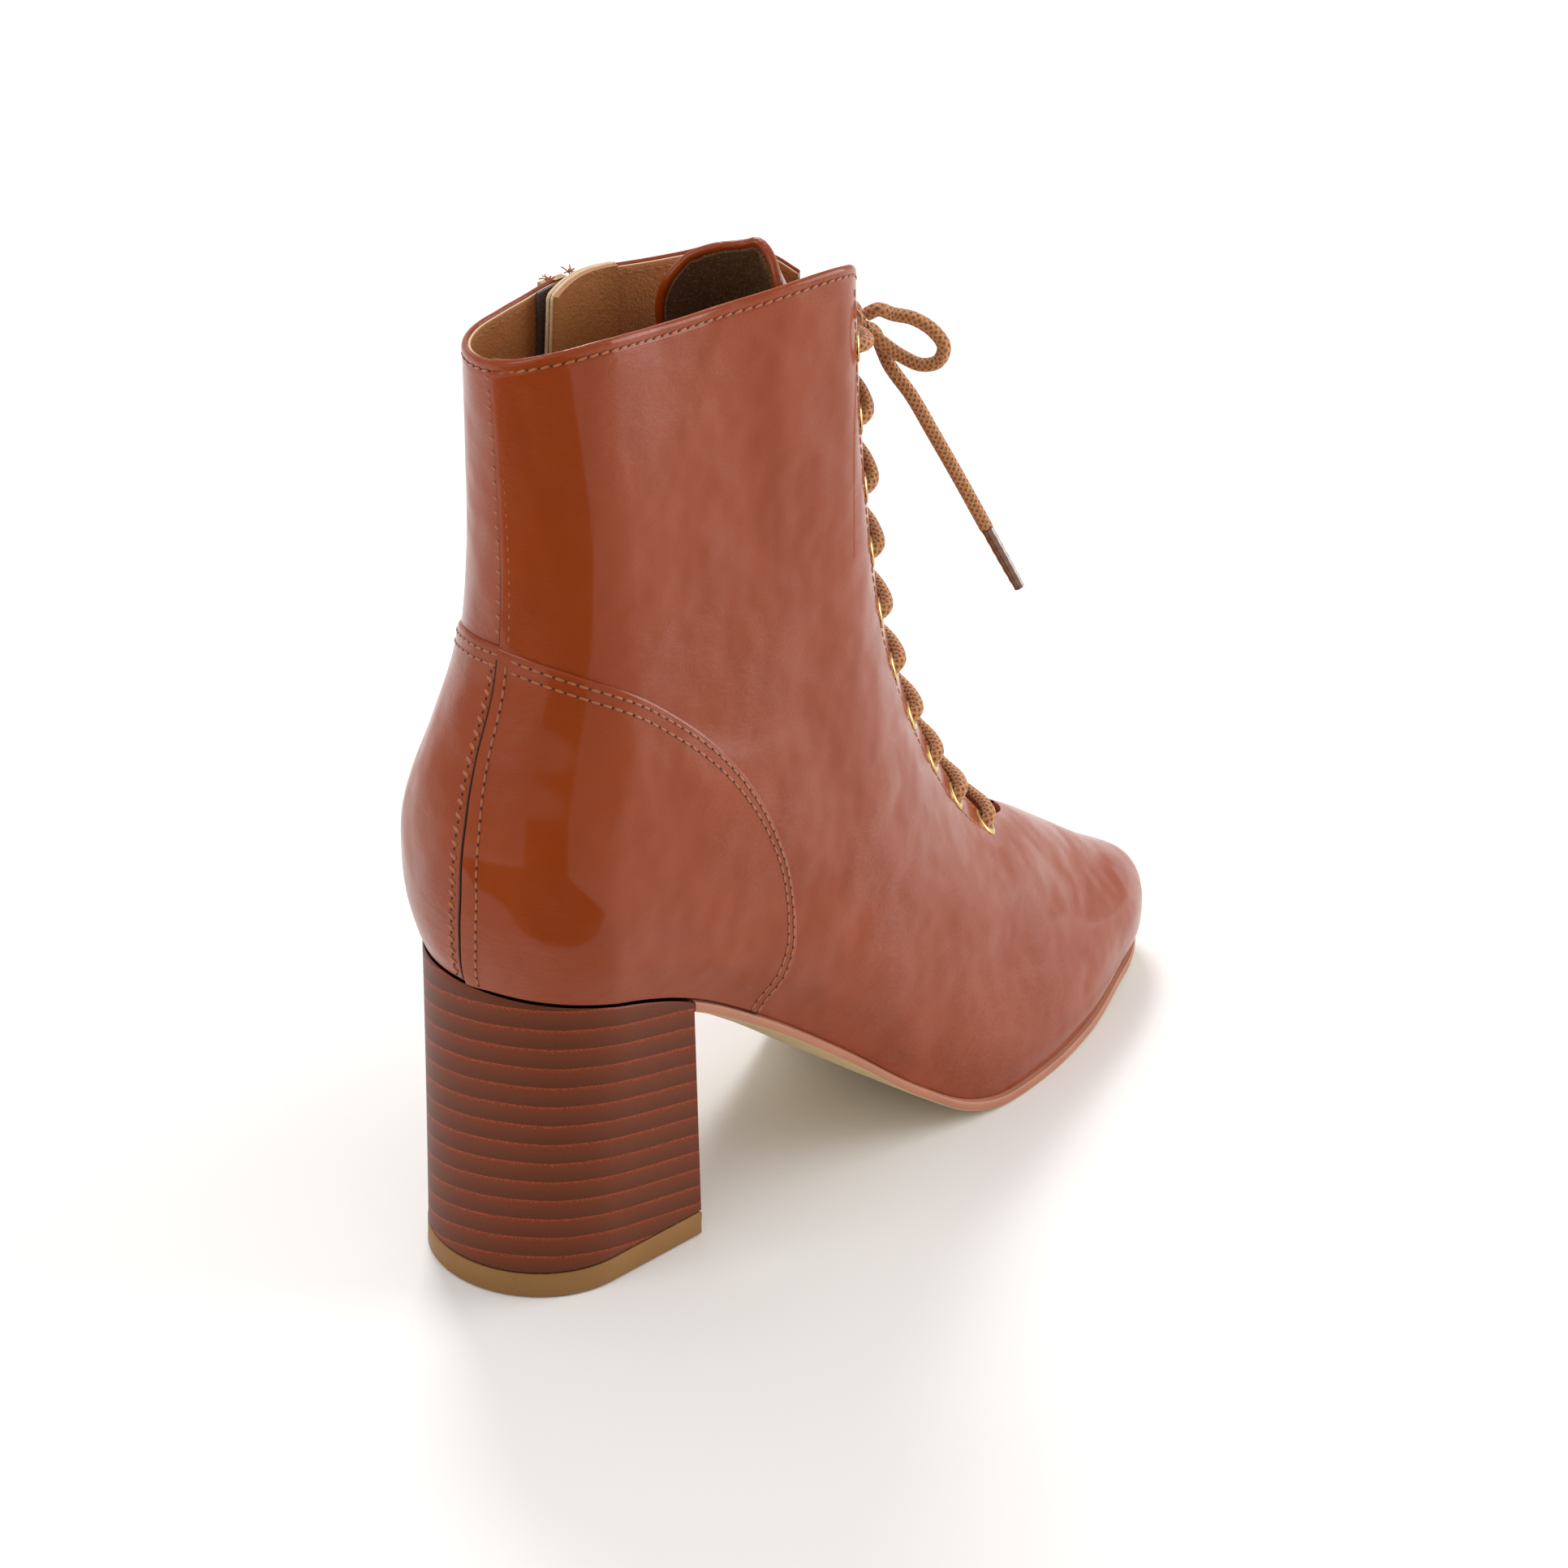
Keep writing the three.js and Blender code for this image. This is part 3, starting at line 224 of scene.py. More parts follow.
# How far the collar's edge stands over the last's end: turn, millimetres.
RIM_LIFT = (
    (0.0, 0.3), (0.03, 0.9), (0.06, 1.9), (0.09, 2.7), (0.12, 3.1), (0.15, 2.3), (0.18, 1.0),
    (0.21, -0.1), (0.25, -0.7), (0.3, -0.2), (0.34, -0.1), (0.37, -0.8), (0.4, -2.6), (0.425, -5.6),
    (0.45, -9.0), (0.55, -9.0), (0.575, -5.6), (0.6, -2.6), (0.63, -1.6), (0.67, -1.7), (0.72, -1.0),
    (0.76, -0.2), (0.79, 0.2), (0.81, 0.0), (0.84, 0.3), (0.87, 0.2), (0.93, 0.1), (1.0, 0.3),
)


def rim_lift(turn, height):
    """Upward shift of the collar's leather near its edge."""
    turns, lifts = np.array(RIM_LIFT, float).T
    near = np.clip((np.asarray(height, float) - 0.92) / 0.08, 0, 1)
    return cubic(turns, lifts, np.mod(turn, 1.0)) * near * near * (3 - 2 * near)


def on_collar(turn, height, out):
    """Points over the face with the collar's own edge line."""
    turn, height = np.broadcast_arrays(np.asarray(turn, float), np.asarray(height, float))
    points = over_face(turn, height, out)
    points[..., 2] += rim_lift(turn, height)
    return points


def outward(turn, height):
    """Outward normals of the face."""
    turn, height = np.broadcast_arrays(np.asarray(turn, float), np.asarray(height, float))
    e = 0.004
    low = np.maximum(0, height - e)
    round_ = face(turn + e, height) - face(turn - e, height)
    up = face(turn, height + e) - face(turn, low)
    normal = np.cross(round_, up)
    return normal / np.linalg.norm(normal, axis=-1, keepdims=True)


def over_face(turn, height, out):
    """Points at a distance outside the face, in millimetres."""
    turn, height, out = np.broadcast_arrays(
        np.asarray(turn, float), np.asarray(height, float), np.asarray(out, float)
    )
    return face(turn, height) + outward(turn, height) * out[..., None]


def lengths(points):
    """Running length along a line of points."""
    return np.concatenate([[0], np.cumsum(np.linalg.norm(np.diff(points, axis=0), axis=1))])


def turns_from_front(height, distances):
    """Turns at distances from the front's middle, positive to the inner side."""
    distances = np.asarray(distances, float)
    turns = np.linspace(0.5, 0.9, 240)
    inner = lengths(face(turns, np.full_like(turns, height)))
    outer = lengths(face(1 - turns, np.full_like(turns, height)))
    right = np.interp(np.maximum(distances, 0), inner, turns)
    left = np.interp(np.maximum(-distances, 0), outer, 1 - turns)
    return np.where(distances >= 0, right, left)


def zip_turn(height):
    """Turn of the zip's line at heights."""
    q = np.clip(height, 0, 1) * (len(SECTIONS) - 1)
    rows = np.arange(len(SECTIONS))
    back = cubic(rows, SECTION_TABLE[:, 0], q)
    front = cubic(rows, SECTION_TABLE[:, 2], q)
    t = (ZIP_FROM_BACK - back) / (front - back)
    return 1 - np.arccos(1 - 2 * t) / (2 * np.pi)


def down_a_line(turn_at):
    """Function from a distance below the collar to a height, down a line."""
    heights = np.linspace(1, 0, 1201)
    run = lengths(face(turn_at(heights), heights))
    rate = run[1] / (heights[0] - heights[1])

    def height(distance):
        distance = np.asarray(distance, float)
        inside = np.interp(distance, run, heights)
        return np.where(distance < 0, 1 - distance / rate, inside)

    return height


front_height = down_a_line(lambda heights: np.full_like(heights, 0.5))
zip_height = down_a_line(zip_turn)
THROAT_FOOT = float(front_height(THROAT_LENGTH))
ZIP_FOOT = float(zip_height(ZIP_LENGTH))


def throat_half(distance):
    """Half width of the throat at a distance below the collar."""
    distance = np.asarray(distance, float)
    half = THROAT_HALF_TOP + (THROAT_HALF_FOOT - THROAT_HALF_TOP) * (
        np.maximum(0, distance) / THROAT_LENGTH
    )
    return half * end_round(np.maximum(0, THROAT_LENGTH - distance), half)


def back_seam(height):
    turns, heights = np.array(BACK_SEAM, float).T
    return cubic(heights, turns, np.clip(height, 0, 1))


def counter_seam(share):
    """Turn and height at a share of the way along the counter's seam."""
    turns, heights = np.array(COUNTER_SEAM, float).T
    run = np.arange(len(turns)) / (len(turns) - 1)
    return cubic(run, turns, share), cubic(run, heights, share)


# Meshes


def clear_selection():
    """Leaves nothing selected, so that an operator acts on its own piece."""
    bpy.ops.object.select_all(action="DESELECT")


def only(obj):
    clear_selection()
    obj.select_set(True)
    bpy.context.view_layer.objects.active = obj
    return obj


def smooth(obj, degrees=40):
    only(obj)
    bpy.ops.object.shade_smooth_by_angle(angle=math.radians(degrees))
    return obj


def set_points(obj, points):
    """Gives a primitive's vertices their places, in millimetres."""
    obj.data.vertices.foreach_set("co", (np.asarray(points, float) * MM).ravel())
    obj.data.update()


def grid_piece(name, points, turned=False):
    """A grid primitive laid over rows of points, with its own UV map."""
    rows, columns = points.shape[0] - 1, points.shape[1] - 1
    clear_selection()
    bpy.ops.mesh.primitive_grid_add(x_subdivisions=columns, y_subdivisions=rows, size=1)
    obj = bpy.context.object
    obj.name = name
    obj.data.name = name
    set_points(obj, points.reshape(-1, 3))
    if turned:
        bpy.ops.object.mode_set(mode="EDIT")
        bpy.ops.mesh.select_all(action="SELECT")
        bpy.ops.mesh.flip_normals()
        bpy.ops.object.mode_set(mode="OBJECT")
    return obj


def join(name, pieces, weld=0.0):
    """Joins pieces into one, and welds their shared edges."""
    clear_selection()
    for piece in pieces:
        piece.select_set(True)
    bpy.context.view_layer.objects.active = pieces[0]
    if len(pieces) > 1:
        bpy.ops.object.join()
    obj = bpy.context.object
    obj.name = name
    obj.data.name = name
    if weld:
        bpy.ops.object.mode_set(mode="EDIT")
        bpy.ops.mesh.select_all(action="SELECT")
        bpy.ops.mesh.remove_doubles(threshold=weld * MM)
        bpy.ops.object.mode_set(mode="OBJECT")
    return obj


def apply_modifiers(obj):
    only(obj)
    for modifier in list(obj.modifiers):
        bpy.ops.object.modifier_apply(modifier=modifier.name)
    return obj


def finish_piece(obj, material, body, slot, *nodes):
    """Gives a piece its material, its body and the solids it stands for."""
    if material is not None:
        obj.data.materials.clear()
        obj.data.materials.append(material)
    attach(obj, body)
    if nodes:
        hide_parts(*nodes)
    return obj


def frames_along(points, up):
    """Tangent, side and top directions along a line of points."""
    tangent = np.gradient(points, axis=0)
    tangent /= np.linalg.norm(tangent, axis=1, keepdims=True)
    side = np.cross(np.broadcast_to(up, tangent.shape), tangent)
    side /= np.linalg.norm(side, axis=1, keepdims=True)
    return tangent, side, np.cross(tangent, side)


def parallel_frames(points):
    """Frames that turn no more than the line does."""
    tangent = np.gradient(points, axis=0)
    tangent /= np.linalg.norm(tangent, axis=1, keepdims=True)
    side = np.zeros_like(tangent)
    start = np.cross(tangent[0], (0.3, 0.2, 1.0))
    side[0] = start / np.linalg.norm(start)
    for i in range(1, len(points)):
        moved = side[i - 1] - tangent[i] * (side[i - 1] @ tangent[i])
        side[i] = moved / np.linalg.norm(moved)
    return tangent, side, np.cross(tangent, side)


def resample(points, spacing):
    """Points at an even spacing on a smooth curve through the given ones."""
    points = np.asarray(points, float)
    chord = np.sqrt(np.linalg.norm(np.diff(points, axis=0), axis=1))
    knots = np.concatenate([[0], np.cumsum(chord)])
    fine = np.linspace(0, knots[-1], 60 * len(points))
    dense = np.stack([cubic(knots, points[:, c], fine) for c in range(3)], -1)
    run = lengths(dense)
    count = max(3, int(round(run[-1] / spacing)) + 1)
    even = np.linspace(0, run[-1], count)
    return np.stack([np.interp(even, run, dense[:, c]) for c in range(3)], -1)


def tube(name, points, radius, sides=16, ends=True, radii=None):
    """A closed round tube along a line, with UV round and along it in mm."""
    _, side, top = parallel_frames(points)
    run = lengths(points)
    size = np.full(len(points), radius) if radii is None else np.asarray(radii, float)
    angle = np.linspace(0, 2 * np.pi, sides + 1)
    ring = np.cos(angle)[None, :, None] * side[:, None] + np.sin(angle)[None, :, None] * top[:, None]
    grid = points[:, None] + ring * size[:, None, None]
    if ends:
        grid = np.concatenate([
            np.repeat(points[:1, None], sides + 1, 1), grid, np.repeat(points[-1:, None], sides + 1, 1)
        ])
        run = np.concatenate([run[:1], run, run[-1:]])
    obj = grid_piece(name, grid)
    uv = obj.data.uv_layers[0].data
    loops = np.empty(len(obj.data.loops), int)
    obj.data.loops.foreach_get("vertex_index", loops)
    row, column = loops // (sides + 1), loops % (sides + 1)
    coords = np.stack([column / sides, run[row]], -1)
    uv.foreach_set("uv", coords.ravel())
    join(name, [obj], weld=0.0005)
    bpy.ops.object.mode_set(mode="EDIT")
    bpy.ops.mesh.select_all(action="SELECT")
    bpy.ops.mesh.normals_make_consistent(inside=False)
    bpy.ops.object.mode_set(mode="OBJECT")
    return smooth(obj, 50)


def copies_mesh(name, shape, faces, places):
    """One mesh that repeats a small shape: places is rows of 3x4 matrices."""
    shape = np.asarray(shape, float)
    placed = np.einsum("nij,vj->nvi", places[:, :, :3], shape) + places[:, None, :, 3]
    count, size = placed.shape[:2]
    polygons = (np.asarray(faces)[None] + (np.arange(count) * size)[:, None, None]).reshape(
        -1, len(faces[0])
    )
    mesh = bpy.data.meshes.new(name)
    mesh.from_pydata((placed.reshape(-1, 3) * MM).tolist(), [], polygons.tolist())
    mesh.update()
    obj = bpy.data.objects.new(name, mesh)
    bpy.context.scene.collection.objects.link(obj)
    return smooth(obj, 60)


def capsule_shape(sides=7):
    """Vertices and faces of a small lying stitch of unit length and width."""
    rings = ((-0.5, 0.35), (-0.42, 0.75), (-0.2, 1.0), (0.2, 1.0), (0.42, 0.75), (0.5, 0.35))
    verts = [
        (x, 0.5 * r * math.cos(2 * math.pi * k / sides), 0.5 * r * math.sin(2 * math.pi * k / sides))
        for x, r in rings
        for k in range(sides)
    ]
    faces = []
    for i in range(len(rings) - 1):
        for k in range(sides):
            a, b = i * sides + k, i * sides + (k + 1) % sides
            faces.append((a, b, b + sides, a + sides))
    first = len(verts)
    verts += [(-0.52, 0, 0), (0.52, 0, 0)]
    last = (len(rings) - 1) * sides
    for k in range(sides):
        k2 = (k + 1) % sides
        faces.append((first, k2, k, first))
        faces.append((first + 1, last + k, last + k2, first + 1))
    quads = [f for f in faces[: (len(rings) - 1) * sides]]
    triangles = [f[:3] for f in faces[(len(rings) - 1) * sides:]]
    halved = []
    for a, b, c, d in quads:
        halved += [(a, b, c), (a, c, d)]
    return verts, halved + triangles


def stitch_row(name, turns, heights, out, pitch, length, width, slant=0.0, phase=0.5):
    """Stitches along a line on the face, sunk a little into the leather."""
    line = on_collar(turns, heights, out)
    run = lengths(line)
    count = max(2, int(run[-1] / pitch))
    middle = (np.arange(count) + phase) * run[-1] / count
    at_turn = np.interp(middle, run, turns)
    at_height = np.interp(middle, run, heights)
    point = np.stack([np.interp(middle, run, line[:, c]) for c in range(3)], -1)
    ahead = np.stack([np.interp(middle + 0.4, run, line[:, c]) for c in range(3)], -1)
    behind = np.stack([np.interp(middle - 0.4, run, line[:, c]) for c in range(3)], -1)
    along = ahead - behind
    along /= np.linalg.norm(along, axis=1, keepdims=True)
    normal = outward(at_turn, at_height)
    across = np.cross(normal, along)
    across /= np.linalg.norm(across, axis=1, keepdims=True)
    normal = np.cross(along, across)
    tilted = along * math.cos(slant) + across * math.sin(slant)
    across = np.cross(normal, tilted)
    rng = np.random.default_rng(len(name) + count)
    size = 1 + rng.uniform(-0.08, 0.08, count)
    places = np.stack([
        tilted * (length * size)[:, None], across * width, normal * width * 0.8, point
    ], -1)
    verts, faces = capsule_shape()
    return copies_mesh(name, verts, faces, places)


# Materials


class Maker:
    """Builds a material's nodes one after the other."""

    def __init__(self, name, color, roughness, metallic=0.0, **sockets):
        self.material = bpy.data.materials.new(name)
        self.material.use_nodes = True
        self.material.diffuse_color = (*color, 1)
        self.nodes = self.material.node_tree.nodes
        self.links = self.material.node_tree.links
        self.shader = self.nodes["Principled BSDF"]
        self.set("Base Color", (*color, 1))
        self.set("Roughness", roughness)
        self.set("Metallic", metallic)
        for socket, value in sockets.items():
            self.set(socket.replace("_", " "), value)
        self.place = self.nodes.new("ShaderNodeTexCoord")
        self.bump_from = None

    def set(self, socket, value):
        self.shader.inputs[socket].default_value = value

    def link(self, source, target):
        self.links.new(source, target)

    def mapped(self, output, scale):
        node = self.nodes.new("ShaderNodeMapping")
        node.inputs["Scale"].default_value = scale
        self.link(self.place.outputs[output], node.inputs["Vector"])
        return node.outputs["Vector"]

    def noise(self, vector, scale, detail=2.0, rough=0.5, distortion=0.0):
        node = self.nodes.new("ShaderNodeTexNoise")
        node.inputs["Scale"].default_value = scale
        node.inputs["Detail"].default_value = detail
        node.inputs["Roughness"].default_value = rough
        node.inputs["Distortion"].default_value = distortion
        self.link(vector, node.inputs["Vector"])
        return node.outputs["Fac"]

    def cells(self, vector, scale, feature="F1"):
        node = self.nodes.new("ShaderNodeTexVoronoi")
        node.feature = feature
        node.inputs["Scale"].default_value = scale
        self.link(vector, node.inputs["Vector"])
        return node.outputs["Distance"]

    def math(self, operation, a, b=0.0, c=0.0):
        node = self.nodes.new("ShaderNodeMath")
        node.operation = operation
        for socket, value in zip(node.inputs, (a, b, c)):
            if isinstance(value, (int, float)):
                socket.default_value = value
            else:
                self.link(value, socket)
        return node.outputs[0]

    def ramp(self, factor, *stops):
        node = self.nodes.new("ShaderNodeValToRGB")
        elements = node.color_ramp.elements
        while len(elements) < len(stops):
            elements.new(0.5)
        for element, (position, color) in zip(elements, stops):
            element.position = position
            element.color = (*color, 1) if len(color) == 3 else color
        self.link(factor, node.inputs["Fac"])
        return node.outputs["Color"]

    def blend(self, factor, a, b, mode="MIX"):
        node = self.nodes.new("ShaderNodeMix")
        node.data_type = "RGBA"
        node.blend_type = mode
        for socket, value in ((node.inputs[0], factor), (node.inputs[6], a), (node.inputs[7], b)):
            if isinstance(value, (int, float)):
                socket.default_value = value
            elif isinstance(value, tuple):
                socket.default_value = (*value, 1)
            else:
                self.link(value, socket)
        return node.outputs[2]

    def color(self, source):
        self.link(source, self.shader.inputs["Base Color"])

    def roughness(self, source):
        self.link(source, self.shader.inputs["Roughness"])

    def span(self, source, low, high):
        node = self.nodes.new("ShaderNodeMapRange")
        node.inputs["To Min"].default_value = low
        node.inputs["To Max"].default_value = high
        self.link(source, node.inputs["Value"])
        return node.outputs["Result"]

    def bump(self, height, strength, distance):
        node = self.nodes.new("ShaderNodeBump")
        node.inputs["Strength"].default_value = strength
        node.inputs["Distance"].default_value = distance
        self.link(height, node.inputs["Height"])
        if self.bump_from is not None:
            self.link(self.bump_from, node.inputs["Normal"])
        self.bump_from = node.outputs["Normal"]
        self.link(self.bump_from, self.shader.inputs["Normal"])

    def xyz(self, output="Object"):
        node = self.nodes.new("ShaderNodeSeparateXYZ")
        self.link(self.place.outputs[output], node.inputs[0])
        return node.outputs


def upper_leather(colours):
    made = Maker("glossy_upper_leather", colours.leather, 0.3, Coat_Weight=0.45, Coat_Roughness=0.1,
                 Coat_IOR=1.5, Specular_IOR_Level=0.12)
    place = made.mapped("Object", (1, 1, 1))
    cloud = made.noise(place, 26, 3, 0.55)
    made.color(made.blend(made.span(cloud, 0.0, 1.0), colours.leather_deep[:], colours.leather[:]))
    made.roughness(made.span(made.noise(place, 140, 3), 0.24, 0.38))
    wrinkle = made.noise(made.mapped("Object", (1, 1, 3.0)), 95, 5, 0.62, 1.6)
    patch = made.ramp(made.noise(place, 22, 2), (0.46, (0.12, 0.12, 0.12)), (0.66, (1, 1, 1)))
    made.bump(made.noise(place, 42, 2, 0.5), 0.75, 0.006)
    made.bump(made.math("MULTIPLY", wrinkle, patch), 0.34, 0.0022)
    fine = made.noise(made.mapped("Object", (1, 1, 2.4)), 380, 4, 0.65, 1.0)
    made.bump(made.math("MULTIPLY", fine, patch), 0.3, 0.0009)
    made.bump(made.cells(place, 1900), 0.16, 0.00025)
    return made.material


def lining_leather(colours):
    made = Maker("tan_lining_leather", colours.lining, 0.55, Specular_IOR_Level=0.25)
    place = made.mapped("Object", (1, 1, 1))
    cloud = made.noise(place, 34, 4, 0.6)
    deep = tuple(c * 0.55 for c in colours.lining)
    made.color(made.blend(cloud, deep, colours.lining[:]))
    made.roughness(made.span(made.noise(place, 300, 2), 0.42, 0.62))
    made.bump(made.noise(place, 520, 4, 0.65, 0.8), 0.5, 0.0007)
    made.bump(made.cells(place, 1500), 0.35, 0.0003)
    return made.material


def cut_edge(colours):
    made = Maker("cream_cut_edge", colours.cut_edge, 0.65)
    fibre = made.noise(made.mapped("Object", (1, 1, 1)), 1400, 3)
    made.color(made.blend(fibre, tuple(c * 0.6 for c in colours.cut_edge), colours.cut_edge[:]))
    made.bump(fibre, 0.5, 0.0003)
    return made.material


def thread(colours):
    made = Maker("waxed_thread", colours.thread, 0.42, Sheen_Weight=0.2)
    place = made.mapped("Object", (1, 1, 1))
    made.color(made.blend(made.noise(place, 900, 2), tuple(c * 0.5 for c in colours.thread), colours.thread[:]))
    made.bump(made.noise(place, 3800, 2), 0.6, 0.0002)
    return made.material


def needle_hole(colours):
    # painted shade: near-black colour for the shade inside the needle holes and the back seam's gap
    made = Maker("needle_hole_shadow", (0.03, 0.01, 0.005), 0.8)
    fibre = made.noise(made.mapped("Object", (1, 1, 1)), 2500, 2)
    made.color(made.blend(fibre, (0.02, 0.006, 0.002), (0.06, 0.02, 0.008)))
    made.bump(fibre, 0.4, 0.0002)
    return made.material


def braid(colours, name="braided_lace", yarns=12):
    """Two families of yarn that wind round the cord and pass over each other."""
    made = Maker(name, colours.lace, 0.62, Sheen_Weight=0.35, Sheen_Roughness=0.4)
    x, y, _ = made.xyz("UV")
    pitch = 9.0
    right = made.math("FRACT", made.math("MULTIPLY_ADD", y, yarns / 2 / pitch, made.math("MULTIPLY", x, yarns / 2)))
    left = made.math("FRACT", made.math("MULTIPLY_ADD", y, -yarns / 2 / pitch, made.math("MULTIPLY", x, yarns / 2)))
    hill_a = made.math("SINE", made.math("MULTIPLY", right, math.pi))
    hill_b = made.math("SINE", made.math("MULTIPLY", left, math.pi))
    under = made.math("GREATER_THAN", made.math("FRACT", made.math("MULTIPLY_ADD", y, yarns / 4 / pitch * 2, 0.0)), 0.5)
    over = made.math("MAXIMUM", hill_a, made.math("MULTIPLY", hill_b, 0.82))
    other = made.math("MAXIMUM", hill_b, made.math("MULTIPLY", hill_a, 0.82))
    top = made.math("ADD", made.math("MULTIPLY", over, under), made.math("MULTIPLY", other, made.math("SUBTRACT", 1.0, under)))
    fibre = made.noise(made.mapped("UV", (60, 3.0, 1)), 3.0, 3, 0.7)
    fleck = made.noise(made.mapped("Object", (1, 1, 1)), 1300, 2, 0.6)
    shade = made.math("MULTIPLY", top, made.span(fibre, 0.75, 1.15))
    # painted shade and painted highlight: the ramp darkens the colour where the yarns dip and lightens it on their
    # crests, following the bump's height
    deep = tuple(c * 0.48 for c in colours.lace)
    light = tuple(min(1, c * 1.7) for c in colours.lace)
    base = made.ramp(shade, (0.35, deep), (0.72, colours.lace[:]), (1.0, light))
    made.color(made.blend(made.math("GREATER_THAN", fleck, 0.62), base, colours.lace_fleck[:]))
    made.bump(top, 0.9, 0.0006)
    made.bump(fibre, 0.5, 0.0002)
    return made.material


def metal(colours, name, color, roughness):
    made = Maker(name, color, roughness, 1.0)
    place = made.mapped("Object", (1, 1, 1))
    made.color(made.blend(made.noise(place, 420, 4, 0.6), tuple(c * 0.62 for c in color), tuple(color)))
    made.roughness(made.span(made.noise(place, 900, 3), roughness * 0.7, roughness * 1.5))
    made.bump(made.noise(place, 2200, 2), 0.15, 0.0001)
    return made.material


def fleece(colours):
    made = Maker("brown_tongue_fleece", colours.fleece, 0.85, Sheen_Weight=0.35, Sheen_Roughness=0.35)
    made.set("Sheen Tint", (0.95, 0.6, 0.25, 1))
    place = made.mapped("Object", (1, 1, 1))
    tuft = made.noise(place, 1500, 3, 0.7)
    made.color(made.ramp(tuft, (0.38, tuple(c * 0.35 for c in colours.fleece)), (0.62, colours.fleece[:]),
                         (0.75, (0.5, 0.3, 0.1))))
    made.bump(tuft, 0.9, 0.0006)
    return made.material


def heel_wrap(colours):
    """Thin rust lines over dark brown that fade grainily downwards."""
    made = Maker("layered_heel_wrap", colours.heel, 0.45, Specular_IOR_Level=0.2)
    x, y, z = made.xyz("Object")
    corner = made.math("ADD", made.math("MULTIPLY", x, -22.0), made.math("MULTIPLY", y, -20.6))
    bulge = made.math("MAXIMUM", made.math("MINIMUM", corner, 1.0), 0.0)
    slope = made.math("ADD", z, made.math("MULTIPLY", bulge, -0.0085))
    wander = made.noise(made.mapped("Object", (1, 1, 0.2)), 38, 2)
    level = made.math("ADD", slope, made.math("MULTIPLY", wander, 0.0012))
    saw = made.math("FRACT", made.math("DIVIDE", level, 0.0052))
    grain = made.noise(made.mapped("Object", (1, 1, 1.6)), 2200, 3, 0.8)
    fade = made.math("ADD", saw, made.math("MULTIPLY", made.math("SUBTRACT", grain, 0.5), 1.3))
    fade = made.math("SUBTRACT", 1.0, fade)
    base = made.ramp(fade, (0.0, colours.heel_line[:]), (0.06, tuple(c * 0.5 for c in colours.heel_line)),
                     (0.42, colours.heel[:]), (0.93, tuple(c * 0.75 for c in colours.heel)))
    made.color(base)
    made.bump(saw, 0.15, 0.0002)
    made.bump(grain, 0.12, 0.0001)
    return made.material


def tread(colours, name, color, scale, rough):
    made = Maker(name, color, rough, Specular_IOR_Level=0.3)
    place = made.mapped("Object", (1, 1, 1))
    cloud = made.noise(place, scale, 4, 0.6)
    made.color(made.blend(cloud, tuple(c * 0.8 for c in color), tuple(min(1, c * 1.1) for c in color)))
    made.roughness(made.span(made.noise(place, 260, 2), rough * 0.85, min(1, rough * 1.2)))
    made.bump(made.noise(place, 1300, 3), 0.18, 0.0003)
    return made.material


def studio_floor(colours):
    made = Maker("studio_floor", colours.floor, 0.8, Specular_IOR_Level=0.2)
    cloud = made.noise(made.mapped("Object", (1, 1, 1)), 0.8, 1)
    made.color(made.blend(cloud, tuple(c * 0.985 for c in colours.floor), colours.floor[:]))
    return made.material


def tape(colours):
    made = Maker("woven_zip_tape", colours.tape, 0.8, Sheen_Weight=0.3)
    x, y, z = made.xyz("Object")
    rib = made.math("SINE", made.math("MULTIPLY", z, 2 * math.pi / 0.0007))
    cross = made.math("SINE", made.math("MULTIPLY", x, 2 * math.pi / 0.0009))
    weave = made.math("MULTIPLY", rib, cross)
    made.color(made.blend(made.span(weave, 0.2, 0.8), tuple(c * 0.5 for c in colours.tape), colours.tape[:]))
    made.bump(weave, 0.6, 0.0003)
    return made.material


def film(colours):
    made = Maker("aglet_film", colours.aglet, 0.16, Coat_Weight=1.0, Coat_Roughness=0.06)
    place = made.mapped("Object", (1, 1, 1))
    made.color(made.blend(made.noise(place, 900, 3), tuple(c * 0.5 for c in colours.aglet), colours.aglet[:]))
    made.bump(made.noise(place, 500, 2), 0.2, 0.0004)
    return made.material


def colour(name, text, default):
    return bpy.props.FloatVectorProperty(
        name=name, description=text, subtype="COLOR", size=3, min=0, max=1, default=default
    )


def size(name, text, default, low=0.0, high=0.1):
    return bpy.props.FloatProperty(
        name=name, description=text, default=default, min=low, max=high, unit="LENGTH", precision=4
    )


